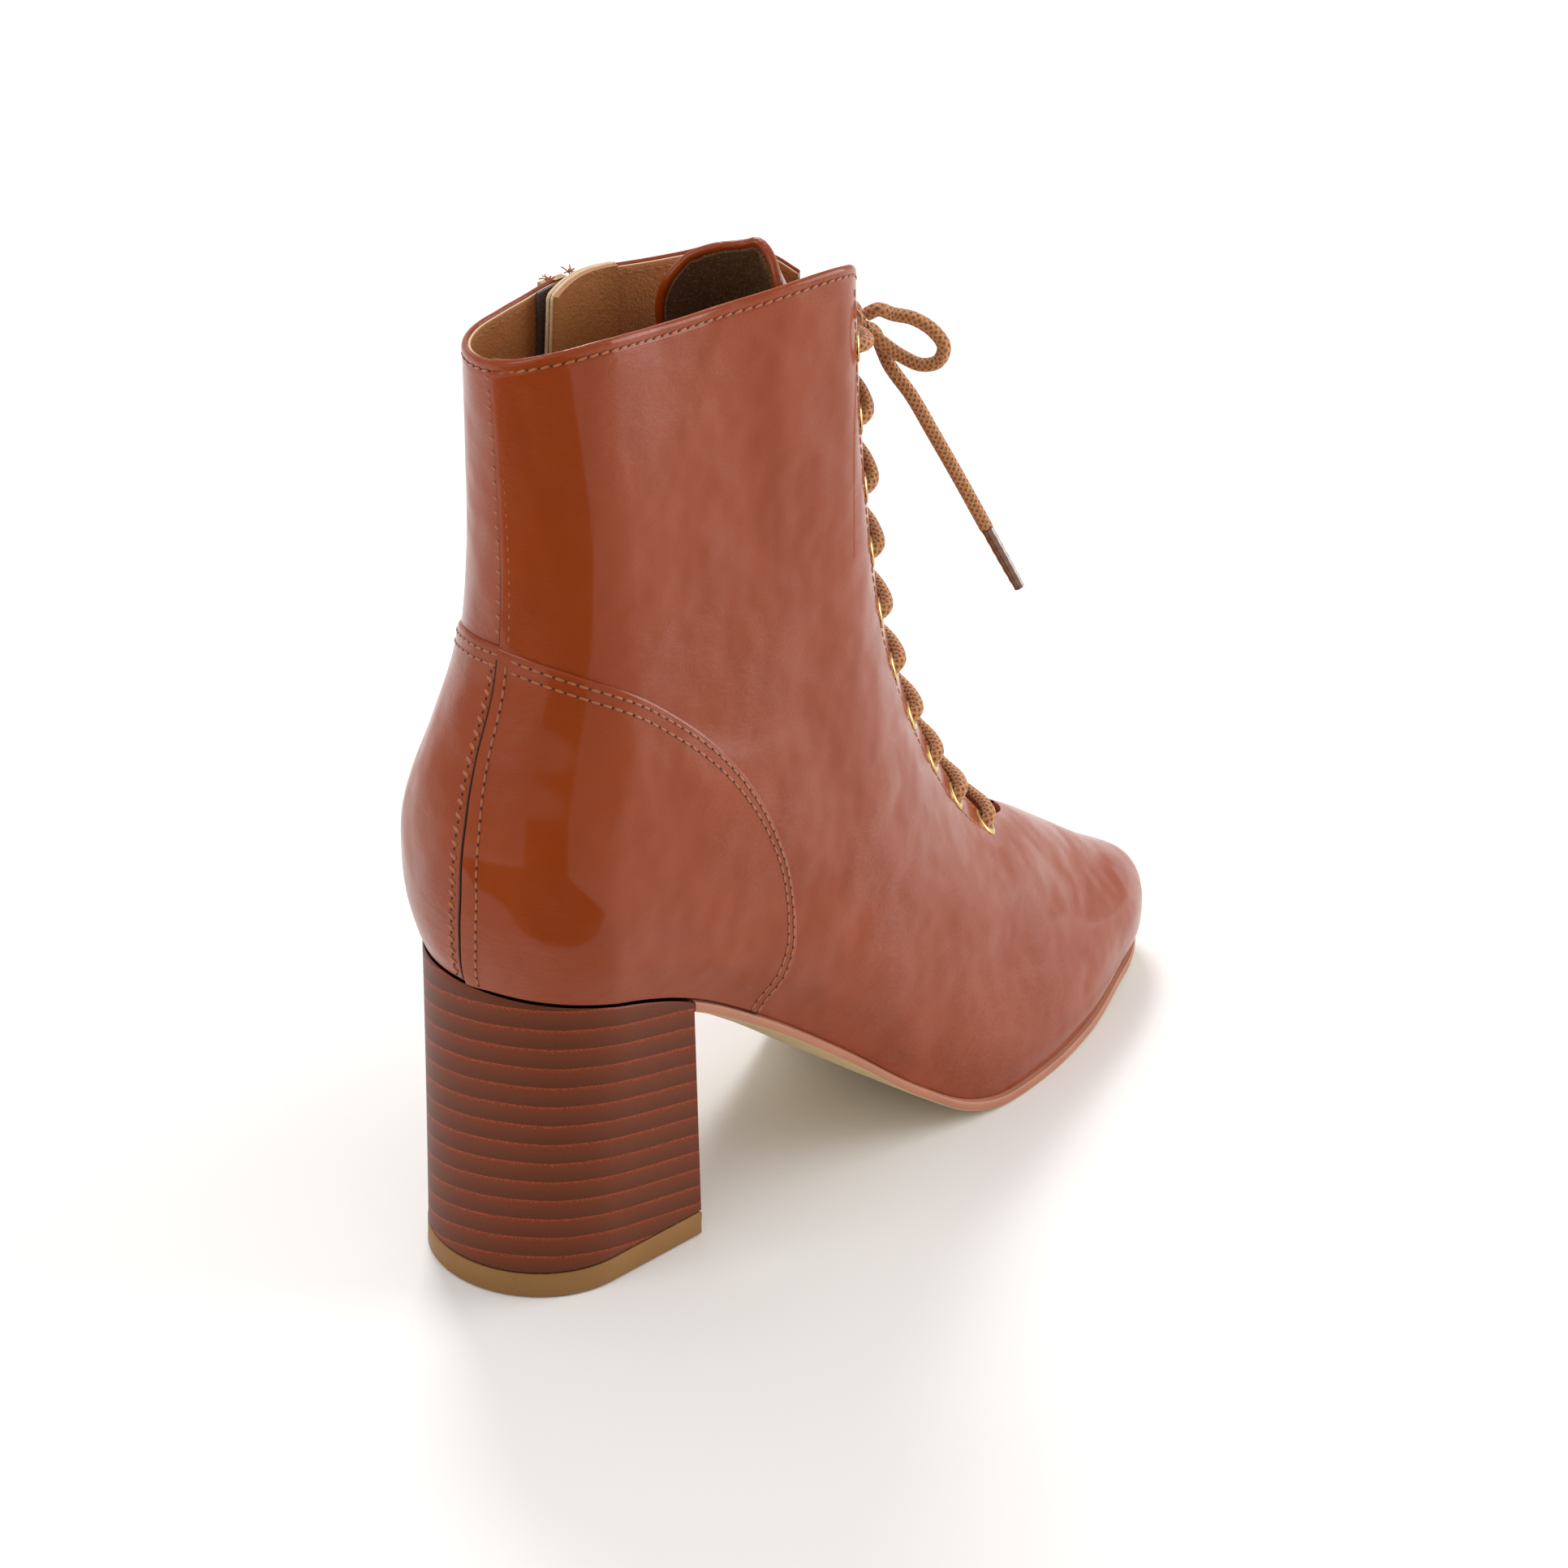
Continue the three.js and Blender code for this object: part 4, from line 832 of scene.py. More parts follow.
class BootColours(bpy.types.PropertyGroup):
    leather: colour("Leather", "Lit colour of the coated upper leather", (0.28, 0.043, 0.0012))
    leather_deep: colour("Leather, deep", "Colour in the leather's darker clouds", (0.215, 0.028, 0.001))
    lining: colour("Lining", "Colour of the lining leather", (0.48, 0.19, 0.06))
    cut_edge: colour("Cut edge", "Colour of the lining's raw edge", (0.8, 0.58, 0.36))
    thread: colour("Thread", "Colour of the stitching", (0.44, 0.12, 0.022))
    lace: colour("Lace", "Colour of the braided lace", (0.42, 0.155, 0.04))
    lace_fleck: colour("Lace fleck", "Colour of the lace's light yarns", (0.55, 0.3, 0.1))
    fleece: colour("Fleece", "Colour of the tongue's inner face", (0.13, 0.05, 0.014))
    heel: colour("Heel wrap", "Ground colour of the heel's wrap", (0.13, 0.029, 0.008))
    heel_line: colour("Heel line", "Colour of the wrap's lines", (0.34, 0.055, 0.015))
    top_piece: colour("Top piece", "Colour of the heel's top piece", (0.27, 0.13, 0.035))
    sole_edge: colour("Sole edge", "Colour of the outsole", (0.42, 0.17, 0.1))
    sole_face: colour("Sole face", "Colour of the outsole's underside", (0.62, 0.47, 0.24))
    eyelet: colour("Eyelets", "Colour of the brass eyelets", (0.7, 0.46, 0.17))
    zip_metal: colour("Zip metal", "Colour of the slider, tab and chain", (0.36, 0.22, 0.12))
    tape: colour("Zip tape", "Colour of the woven tape", (0.1, 0.045, 0.02))
    aglet: colour("Lace tips", "Colour of the film round the lace's tips", (0.2, 0.08, 0.035))
    floor: colour("Floor", "Colour of the studio floor", (0.9, 0.89, 0.875))


class BootSizes(bpy.types.PropertyGroup):
    lace: size("Lace", "Diameter of the round lace", 0.0034, 0.002, 0.005)
    stitch_pitch: size("Stitch pitch", "Distance between stitches", 0.0027, 0.001, 0.006)
    stitch_width: size("Stitch width", "Thickness of the thread", 0.00062, 0.0002, 0.002)
    leather: size("Leather", "Thickness of the outer leather with its fold", 0.0014, 0.0005, 0.003)
    crease: size("Crease", "Depth of the deepest crease", 0.0007, 0.0, 0.004)
    knot: size("Knot", "Half width of the bow's knot", 0.0056, 0.003, 0.009)


MATERIALS = {}


def material(name):
    """A finish, made the first time a piece asks for it."""
    if name not in MATERIALS:
        colours = bpy.context.scene.boot_colours
        makers = {
            "leather": lambda: upper_leather(colours),
            "lining": lambda: lining_leather(colours),
            "cut_edge": lambda: cut_edge(colours),
            "thread": lambda: thread(colours),
            "hole": lambda: needle_hole(colours),
            "lace": lambda: braid(colours),
            "eyelet": lambda: metal(colours, "polished_eyelet_brass", colours.eyelet[:], 0.2),
            "zip": lambda: metal(colours, "antique_zip_metal", colours.zip_metal[:], 0.32),
            "fleece": lambda: fleece(colours),
            "heel": lambda: heel_wrap(colours),
            "top_piece": lambda: tread(colours, "tan_top_piece", colours.top_piece[:], 60, 0.5),
            "sole_edge": lambda: tread(colours, "painted_sole_edge", colours.sole_edge[:], 80, 0.45),
            "sole_face": lambda: tread(colours, "cream_sole_face", colours.sole_face[:], 50, 0.55),
            "tape": lambda: tape(colours),
            "aglet": lambda: film(colours),
            "flag": lambda: tread(colours, "dark_flag_cloth", (0.01, 0.01, 0.01), 30, 0.9),
            "floor": lambda: studio_floor(colours),
        }
        MATERIALS[name] = makers[name]()
    return MATERIALS[name]


# Upper, lining, counter and tongue

# Creases pressed into the leather: points (turn, height), half width mm, depth mm.
CREASES = (
    (((0.10, 0.56), (0.15, 0.545), (0.20, 0.55)), 3.2, 0.9),
    (((0.06, 0.60), (0.12, 0.585), (0.17, 0.60)), 3.0, 0.7),
    (((0.16, 0.50), (0.22, 0.49), (0.28, 0.505)), 3.4, 1.0),
    (((0.20, 0.44), (0.25, 0.45), (0.31, 0.47)), 3.4, 1.0),
    (((0.24, 0.53), (0.30, 0.54), (0.34, 0.565)), 3.0, 0.8),
    (((0.27, 0.60), (0.33, 0.61), (0.37, 0.63)), 2.8, 0.7),
    (((0.18, 0.66), (0.25, 0.66), (0.31, 0.68)), 3.2, 0.6),
    (((0.03, 0.66), (0.09, 0.655), (0.14, 0.665)), 2.4, 0.5),
    (((0.26, 0.38), (0.31, 0.39), (0.36, 0.41)), 3.2, 0.9),
    (((0.30, 0.31), (0.34, 0.33), (0.39, 0.34)), 3.4, 0.8),
    (((0.80, 0.55), (0.86, 0.545), (0.92, 0.56)), 3.2, 0.9),
    (((0.70, 0.48), (0.76, 0.47), (0.81, 0.48)), 3.4, 0.9),
    (((0.66, 0.60), (0.71, 0.61), (0.76, 0.60)), 3.0, 0.7),
    (((0.62, 0.38), (0.67, 0.37), (0.72, 0.39)), 3.2, 0.8),
)


def to_path(points, path):
    """Distance from points to the nearest stretch of a path."""
    nearest = np.full(points.shape[:-1], np.inf)
    for a, b in zip(path[:-1], path[1:]):
        along = b - a
        share = np.clip(((points - a) @ along) / (along @ along), 0, 1)
        gap = np.linalg.norm(points - (a + share[..., None] * along), axis=-1)
        nearest = np.minimum(nearest, gap)
    return nearest


CREASE_LINES = []


def creased(points):
    """How far the leather sinks at points of the face, in millimetres."""
    if not CREASE_LINES:
        for path, width, depth in CREASES:
            turns, heights = np.array(path, float).T
            CREASE_LINES.append((resample(face(turns, heights), 5.0), width * 1.35, depth * 0.38))
    sink = np.zeros(points.shape[:-1])
    for fine, width, depth in CREASE_LINES:
        if np.linalg.norm(points - fine[len(fine) // 2], axis=-1).min() > 45:
            continue
        gap = to_path(points, fine)
        ends = np.minimum(
            np.linalg.norm(points - fine[0], axis=-1), np.linalg.norm(points - fine[-1], axis=-1)
        )
        fade = 1 - np.exp(-((ends / 9.0) ** 2))
        sink -= depth * fade * np.exp(-((gap / width) ** 2))
        sink += 0.45 * depth * fade * np.exp(-(((gap - 1.9 * width) / width) ** 2))
    return sink


def rim_height(turn, below):
    """Height of a point at a distance below the collar, in millimetres."""
    reach = np.linalg.norm(face_inside(turn, 1.0 + 0 * turn) - face_inside(turn, 0.98 + 0 * turn), axis=-1)
    return 1 - below * 0.02 / reach


# Fold at the collar: distance below the rim, distance out of the face.
RIM_FOLD = (
    (6.0, 0.0), (5.0, 0.0), (4.2, 0.0), (3.5, 0.02), (3.0, -0.08), (2.6, -0.16), (2.2, -0.05),
    (1.7, 0.1), (1.2, 0.12), (0.75, 0.04), (0.35, -0.16), (0.08, -0.5), (0.0, -0.85), (0.1, -1.15),
    (0.4, -1.35), (1.0, -1.4),
)
# Folded edge of the throat and the zip's slit: inset, distance out.
EDGE_FOLD = ((1.6, 0.0), (0.9, 0.04), (0.45, -0.06), (0.12, -0.4), (0.0, -0.9), (0.05, -1.9))


def leather_rows():
    """Heights of the rows below the collar's fold."""
    return np.unique(np.concatenate([
        np.linspace(0, 0.03, 4),
        np.linspace(0.03, 0.42, 74),
        np.linspace(0.42, THROAT_FOOT + 0.03, 26),
        np.linspace(THROAT_FOOT + 0.03, 0.95, 88),
    ]))


def front_distance(height):
    heights = np.linspace(1, 0, 1201)
    run = lengths(face(np.full_like(heights, 0.5), heights))
    return np.interp(1 - np.asarray(height, float), 1 - heights, run)


def throat_turns(height):
    """Turns of the throat's two edges at a height."""
    half = float(throat_half(front_distance(height))) if height > THROAT_FOOT else 0.0
    if half <= 0:
        return 0.5, 0.5
    outer, inner = turns_from_front(height, [-half, half])
    return float(outer), float(inner)


def slit_half(height):
    """Half width of the zip's slit as a turn."""
    if height <= ZIP_FOOT:
        return 0.0
    turn = float(zip_turn(height))
    reach = np.linalg.norm(face(turn + 0.005, height) - face(turn - 0.005, height)) / 0.01
    below = (1 - ZIP_FOOT) * 0.02
    return ZIP_SLIT / 2 / reach * min(1.0, math.sqrt((height - ZIP_FOOT) / below))


def edges_at(height):
    """Turns that bound the three panels at a height."""
    seam = float(back_seam(height))
    outer, inner = throat_turns(height)
    zip_middle = float(zip_turn(height))
    half = slit_half(height)
    return seam, outer, inner, zip_middle - half, zip_middle + half, 1 + seam


def panel_points(heights, outs, start, end, columns, open_start, open_end, dress):
    """Rows of points between two edges, which fold in where they are open."""
    rows = []
    for height, out in zip(heights, outs):
        edges = edges_at(min(height, 1.0))
        a, b = edges[start], edges[end]
        here = face(np.array([(a + b) / 2 - 0.005, (a + b) / 2 + 0.005]), height)
        per_mm = 0.01 / np.linalg.norm(here[1] - here[0])
        turns = np.linspace(a, b, columns + 1)
        depth = np.full(columns + 1, out)
        for is_open, flip in ((open_start, False), (open_end, True)):
            opened = is_open(height)
            if opened is None:
                continue
            fold = np.array(EDGE_FOLD)[::-1]
            inset, sunk = fold[:, 0] * per_mm, fold[:, 1] * opened
            edge = (a + inset) if not flip else (b - inset)[::-1]
            count = len(fold)
            if not flip:
                rest = np.linspace(edge[-1], turns[-1], columns + 2 - count)[1:]
                turns = np.concatenate([edge, rest])
                depth = np.concatenate([out + sunk, depth[count:]])
            else:
                rest = np.linspace(turns[0], edge[0], columns + 2 - count)[:-1]
                first = turns[: len(EDGE_FOLD)] if open_start(height) is not None else None
                if first is not None:
                    rest = np.concatenate([
                        first, np.linspace(first[-1], edge[0], columns + 2 - count - len(first) + 1)[1:-1]
                    ])
                turns = np.concatenate([rest, edge])
                depth = np.concatenate([depth[: len(rest)], (out + sunk[::-1])])
        rows.append(dress(turns, np.full_like(turns, height), depth))
    return np.stack(rows)


def opened_at(foot):
    return lambda height: 1.0 if height > foot else 0.0


def never(height):
    return None


THROAT_OPEN = opened_at(THROAT_FOOT)
ZIP_OPEN = opened_at(ZIP_FOOT)
# Panels: first edge, last edge, columns, how each edge opens.
PANELS = (
    (0, 1, 150, never, THROAT_OPEN),
    (2, 3, 100, THROAT_OPEN, ZIP_OPEN),
    (4, 5, 56, ZIP_OPEN, never),
)


def leather_place(turns, heights, depth):
    place = on_collar(turns, heights, depth)
    sink = creased(place) * np.clip((0.97 - heights) / 0.04, 0, 1) * np.clip(heights / 0.03, 0, 1)
    return place + outward(turns, heights) * sink[:, None]


def make_upper_leather():
    """Outer leather in three panels, folded over at the collar and throat."""
    pieces = []
    low = leather_rows()
    for k, (start, end, columns, open_start, open_end) in enumerate(PANELS):
        heights = list(low)
        outs = [0.0] * len(low)
        body = panel_points(heights, outs, start, end, columns, open_start, open_end, leather_place)
        rim = []
        for below, out in RIM_FOLD:
            def dress(turns, heights, depth, below=below):
                return on_collar(turns, rim_height(turns, below), depth)

            rim.append(panel_points([0.9999], [out], start, end, columns, open_start, open_end, dress)[0])
        points = np.concatenate([body, np.stack(rim)])
        if k == 0:
            points = raise_back_edge(points, low)
        pieces.append(grid_piece(f"upper_panel_{k + 1}", points))
    made = join("upper_leather", pieces, weld=0.004)
    smooth(made, 60)
    finish_piece(made, material("leather"), "boot", "upper_leather", "upper")
    return made


def raise_back_edge(points, low):
    """The outer quarter's back edge lies over the inner one."""
    column = np.linalg.norm(points - points[:, :1], axis=-1)
    rise = 1.0 * np.exp(-((column / 5.0) ** 2))
    normal = np.cross(
        np.gradient(points, axis=1), np.gradient(points, axis=0)
    )
    length = np.linalg.norm(normal, axis=-1, keepdims=True)
    normal = normal / np.maximum(length, 1e-9)
    rows = points.shape[0]
    fade = np.ones(rows)
    fade[len(low) + 6:] = 0.25
    raised = points + normal * (rise * fade[:, None])[..., None]
    under = points[:, :1] - normal[:, :1] * (0.3 * fade)[:, None, None]
    return np.concatenate([under, raised], axis=1)


def make_lining():
    """Lining leather with its pale cut edge under the collar's fold."""
    heights = np.concatenate([np.linspace(0.012, 0.42, 40), np.linspace(0.425, 0.955, 64)])
    pieces = []
    for k, (start, end, columns, open_start, open_end) in enumerate(PANELS):
        def inside(turns, heights, depth):
            place = on_collar(turns, heights, -2.1)
            ripple = 0.25 * np.sin(place[:, 2] * 0.42 + 1.3 * np.sin(place[:, 0] * 0.11)) * (
                0.5 + 0.5 * np.sin(place[:, 1] * 0.15 + place[:, 2] * 0.06)
            )
            return place - outward(turns, heights) * ripple[:, None]

        body = panel_points(
            list(heights), [0.0] * len(heights), start, end, columns // 2, never, never, inside
        )
        rim = []
        for below, out in ((6, -2.1), (4, -2.1), (2.6, -2.15), (1.6, -2.1), (0.85, -2.05), (0.62, -1.9)):
            def dress(turns, heights, depth, below=below, out=out):
                return on_collar(turns, rim_height(turns, below), out)

            rim.append(panel_points([0.9999], [out], start, end, columns // 2, never, never, dress)[0])
        points = np.concatenate([body, np.stack(rim)])
        pieces.append(grid_piece(f"lining_panel_{k + 1}", points, turned=True))
        strip = []
        for below, out in ((0.62, -1.9), (0.55, -1.65), (0.62, -1.38), (1.2, -1.34)):
            def edge(turns, heights, depth, below=below, out=out):
                return on_collar(turns, rim_height(turns, below), out)

            strip.append(panel_points([0.9999], [out], start, end, columns // 2, never, never, edge)[0])
        pieces.append(grid_piece(f"lining_edge_{k + 1}", np.stack(strip), turned=True))
    for piece in pieces[1::2]:
        piece.data.materials.append(material("cut_edge"))
    for piece in pieces[0::2]:
        piece.data.materials.append(material("lining"))
    made = join("lining", pieces, weld=0.004)
    smooth(made, 60)
    return finish_piece(made, None, "boot", "lining_leather")


def counter_points(side, rows=70, columns=90):
    """Fan from the counter's lowest point at the back out to its seam."""
    share = np.linspace(0, 1, columns + 1)
    seam_turn, seam_height = counter_seam(share)
    radial = np.concatenate([np.linspace(0.0, 0.99, rows), [0.9955, 0.9985, 1.0, 1.0]])
    out = np.concatenate([np.full(rows, 0.75), [0.72, 0.62, 0.4, -0.1]])
    foot = 0.014
    points = []
    for r, o in zip(radial, out):
        height = foot + (seam_height - foot) * r
        turn = seam_turn * r
        back = back_seam(height)
        spread = np.clip(turn / 0.1, 0, 1)
        if side < 0:
            turn = back * (1 - spread) + turn
            lift = 0.7 * np.exp(-(((turn - back) / 0.012) ** 2))
        else:
            turn = 1 + back * (1 - spread) - turn
            lift = 0.0 * turn
        points.append(over_face(turn, height, o + (lift if o > 0 else 0)))
    points = np.stack(points)
    if side < 0:
        edge = over_face(back_seam(0.014 + 0.721 * radial), 0.014 + 0.721 * radial, 0.0)
        points = np.concatenate([edge[:, None], points], axis=1)
    return points


def make_counters():
    made = []
    for name, side in (("outer", -1), ("inner", 1)):
        points = counter_points(side)
        piece = grid_piece(f"counter_{name}_leather", points, turned=(side < 0))
        join(piece.name, [piece], weld=0.004)
        smooth(piece, 50)
        finish_piece(piece, material("leather"), "boot", "upper_leather", f"counter_{name}")
        made.append(piece)
    return made


def tongue_points(out, rows=90, columns=48, inset=0.0):
    """Points over the tongue from its foot to its head."""
    total = THROAT_LENGTH + TONGUE_BELOW_THROAT + TONGUE_RISE
    grid = []
    for f in 1 - np.linspace(1, 0, rows + 1) ** 1.5:
        distance = total * (1 - f) - TONGUE_RISE
        to_head = total * (1 - f)
        half = TONGUE_HALF_FOOT + (TONGUE_HALF_TOP - TONGUE_HALF_FOOT) * f + 16.0 * max(0.0, (f - 0.6) / 0.4)
        half = half * max(0.14, float(end_round(to_head + 0.4, 30.0))) - inset
        lean = TONGUE_LEAN * max(0.0, (f - 0.6) / 0.4) ** 2
        height = float(front_height(min(distance + (inset if f > 0.99 else 0), total)))
        slide = 9.0 * max(0.0, (f - 0.6) / 0.4) ** 1.5
        turns = turns_from_front(height, np.linspace(-half, half, columns + 1) + slide)
        line = over_face(turns, np.full(columns + 1, height), -(3 + lean) + out)
        line[:, 0] -= 17.0 * max(0.0, (f - 0.7) / 0.3) ** 1.6
        grid.append(line)
    return np.stack(grid)


def make_tongue():
    """Tongue with its leather face, fleece back and bound edge."""
    outer = grid_piece("tongue_leather", tongue_points(0.0))
    only(outer)
    wall = outer.modifiers.new("wall", "SOLIDIFY")
    wall.thickness = 0.9 * MM
    wall.offset = -1
    apply_modifiers(outer)
    smooth(outer, 50)
    finish_piece(outer, material("leather"), "boot", "upper_leather", "tongue")
    points = tongue_points(-1.3, inset=0.5)
    fleece_piece = grid_piece("tongue_fleece", points)
    wall = fleece_piece.modifiers.new("wall", "SOLIDIFY")
    wall.thickness = 1.2 * MM
    wall.offset = -1
    apply_modifiers(fleece_piece)
    smooth(fleece_piece, 60)
    finish_piece(fleece_piece, material("fleece"), "boot", "lining_leather")
    grid = tongue_points(-0.7)
    border = np.concatenate([grid[45:, 0], grid[-1, 1:-1], grid[45:, -1][::-1]])
    line = resample(border, 1.2)
    binding = tube("tongue_binding", line, 1.15, sides=14)
    finish_piece(binding, material("leather"), "boot", "upper_leather")
    return outer


def rim_turns(start, end, count):
    return np.linspace(start, end, count)


def needle_holes(hole_shade_rows):
    """Dark dimples between stitches."""
    seams = []
    for k, (low, high, out) in enumerate(((0.72, 0.985, 0.15), (0.03, 0.72, 0.85))):
        heights = np.linspace(low, high, 200)
        # painted shade: a thin dark tube down the back seam where the overlapping edge shades the gap
        seams.append(tube(f"seam_gap_{k}", over_face(back_seam(heights) - 0.0022, heights, out), 0.3, 8))
    made = join("needle_holes", seams + [
        stitch_row(f"hole_{k}", turns, heights, out, pitch, 0.75, 0.62, 0.0, 0.98)
        for k, (turns, heights, out, pitch) in enumerate(hole_shade_rows)
    ])
    smooth(made, 60)
    return finish_piece(made, material("hole"), "boot", "upper_leather")


def make_stitching():
    """Rows of stitches at the collar, the seams and the throat."""
    sizes = bpy.context.scene.boot_sizes
    pitch, width = sizes.stitch_pitch / MM, sizes.stitch_width / MM
    # the second list holds the rows where dark dots paint the shade in the needle holes
    rows, hole_shade_marks = [], []
    seam, outer, inner, zip_a, zip_b, last = edges_at(1.0)
    for k, (a, b) in enumerate(((seam + 0.004, outer), (inner, zip_a), (zip_b, last - 0.004))):
        turns = np.linspace(a, b, 200)
        rows.append(stitch_row(f"rim_{k}", turns, rim_height(turns, 2.6), -0.02, pitch, pitch * 0.78, width, 0.12))
        hole_shade_marks.append((turns, rim_height(turns, 2.6), -0.2, pitch))
        rows.append(stitch_row(f"lining_{k}", turns, rim_height(turns, 2.4), -2.12, pitch, pitch * 0.7, width * 0.8))
    share = np.linspace(0.0, 1, 260)
    seam_turn, seam_height = counter_seam(share)
    foot = 0.014
    for k, inset in enumerate((0.988, 0.971)):
        height = foot + (seam_height - foot) * inset
        turn = seam_turn * inset
        back = back_seam(height)
        spread = np.clip(turn / 0.1, 0, 1)
        outer_turn = back * (1 - spread) + turn
        inner_turn = 1 + back * (1 - spread) - turn
        rows.append(stitch_row(f"counter_o{k}", outer_turn, height, 0.76, 2.8, 2.1, width))
        rows.append(stitch_row(f"counter_i{k}", inner_turn, height, 0.76, 2.8, 2.1, width))
        hole_shade_marks.append((outer_turn, height, 0.66, 2.8))
        hole_shade_marks.append((inner_turn, height, 0.66, 2.8))
    heights = np.linspace(0.99, 0.74, 160)
    rows.append(stitch_row("back_fine", back_seam(heights) + 0.009, heights, 0.62, pitch, pitch * 0.7, width))
    rows.append(stitch_row("back_left", back_seam(heights) - 0.006, heights, 0.03, 3.6, 1.5, width * 1.2, 1.2))
    heights = np.linspace(0.72, 0.03, 260)
    rows.append(stitch_row("heel_fine", back_seam(heights) + 0.009, heights, 1.2, pitch, pitch * 0.7, width))
    hole_shade_marks.append((back_seam(heights) - 0.008, heights, 0.7, 3.2))
    hole_shade_marks.append((back_seam(heights) + 0.009, heights, 1.1, pitch))
    rows.append(stitch_row("heel_left", back_seam(heights) - 0.008, heights, 0.8, 3.2, 2.0, width * 1.5, 1.1))
    for side in (-1, 1):
        for away in (3.0, 12.2):
            distances = np.linspace(6, THROAT_LENGTH - 6, 160)
            heights = front_height(distances)
            half = THROAT_HALF_TOP + (THROAT_HALF_FOOT - THROAT_HALF_TOP) * distances / THROAT_LENGTH
            turns = np.array([
                float(turns_from_front(float(h), [side * (w + away)])[0]) for h, w in zip(heights, half)
            ])
            rows.append(stitch_row(f"throat_{side}_{away}", turns, heights, 0.0, pitch, pitch * 0.75, width))
    heights = np.linspace(0.985, ZIP_FOOT - 0.01, 160)
    middle = zip_turn(heights)
    for side in (-1, 1):
        reach = np.linalg.norm(face(middle + 0.005, heights) - face(middle - 0.005, heights), axis=-1) / 0.01
        turns = middle + side * 5.6 / reach
        rows.append(stitch_row(f"zip_{side}", turns, heights, 0.0, pitch, pitch * 0.75, width))
    # painted shade in the needle holes and the back seam's gap
    needle_holes(hole_shade_marks)
    made = join("stitching", rows)
    smooth(made, 60)
    return finish_piece(made, material("thread"), "boot", "upper_leather")


# Lace

EYELET_ROWS_AT = (
    (0.9145, 16.48), (0.8510, 16.84), (0.7951, 17.21), (0.7509, 17.58), (0.7090, 17.94),
    (0.6653, 18.31), (0.6212, 18.68), (0.5747, 19.05), (0.5263, 19.41), (0.4731, 19.71),
)
LACE_DIAMETER = 3.4
LACE_FOOT, LACE_RUN, LACE_DIVE = 1.7, 4.2, -1.0
KNOT_RADII = np.array([4.2, 5.6, 4.6])
KNOT_MIDDLE = np.array([95.48, -1.21, 212.88])
LOOP_START, LOOP_RETURN, END_START = (1.2, 5, 2.2), (1.4, 5, -2.2), (3.6, 2.1, -2.6)
LOOP = (
    (5.4, 9.4, 2.4), (7.9, 13.4, 1.9), (10.4, 17.6, -0.6), (11.7, 20.1, -4.3),
    (11, 19, -8.1), (9.1, 15.7, -9.4), (6.6, 11.5, -7.8),
)
END = (
    (6.9, 7.6, -11.4), (9.6, 12.6, -18.4), (12.7, 16.9, -27), (16.3, 21.8, -37), (21.2, 28.2, -50.8),
)
AGLET_LENGTH = 17.0
SIDES = (("outer", -1), ("inner", 1))


def port(direction, side):
    """The first two points of a cord that leaves the knot square to it."""
    surface = np.array(direction, float) * (1, side, 1)
    surface /= np.linalg.norm(surface / KNOT_RADII)
    out = surface / KNOT_RADII**2
    out /= np.linalg.norm(out)
    return [KNOT_MIDDLE + surface + out * away for away in (GAP, LACE_DIAMETER)]


def make_bow():
    """Two loops and two ends with film tips, round a knot of the same lace."""
    lace = bpy.context.scene.boot_sizes.lace / MM
    for name, side in SIDES:
        places = [KNOT_MIDDLE + np.array(p) * (1, side, 1) for p in LOOP]
        line = resample(port(LOOP_START, side) + places + port(LOOP_RETURN, side)[::-1], 0.7)
        loop = tube(f"bow_loop_{name}", line, lace / 2, 20)
        finish_piece(loop, material("lace"), "boot", "lace_braid", f"lace_loop_{name}")
        places = [KNOT_MIDDLE + np.array(p) * (1, side, 1) for p in END]
        line = resample(port(END_START, side) + places, 0.7)
        end = tube(f"bow_end_{name}", line, lace / 2, 20)
        finish_piece(end, material("lace"), "boot", "lace_braid", f"lace_end_{name}")
        along = places[-1] - places[-2]
        along /= np.linalg.norm(along)
        start = places[-1] + along * GAP
        run = np.linspace(0, AGLET_LENGTH, 24)
        radii = 1.6 - 0.12 * np.sin(run * 1.1) ** 2 - 0.25 * (run / AGLET_LENGTH) ** 3
        tip = tube(f"lace_tip_{name}_film", start + along * run[:, None], 1.6, 18, True, radii)
        finish_piece(tip, material("aglet"), "boot", "aglet_film", f"lace_tip_{name}")
    turn = np.linspace(0, 2 * np.pi, 70)
    strands = []
    for k, (tilt, reach) in enumerate(((0.5, 1.0), (-0.6, 0.98))):
        ring = np.stack([
            2.6 * np.cos(turn), 3.6 * np.sin(turn) * math.cos(tilt), 3.1 * np.sin(turn + tilt)
        ], -1) * reach
        strands.append(tube(f"knot_{k}", KNOT_MIDDLE + ring, lace * 0.46, 16))
    clear_selection()
    bpy.ops.mesh.primitive_uv_sphere_add(segments=24, ring_count=14, radius=1)
    heart = bpy.context.object
    co = np.array([v.co for v in heart.data.vertices])
    set_points(heart, KNOT_MIDDLE + co * KNOT_RADII * 0.72)
    knot = join("bow_knot", strands + [heart])
    smooth(knot, 60)
    finish_piece(knot, material("lace"), "boot", "lace_braid", "lace_knot")


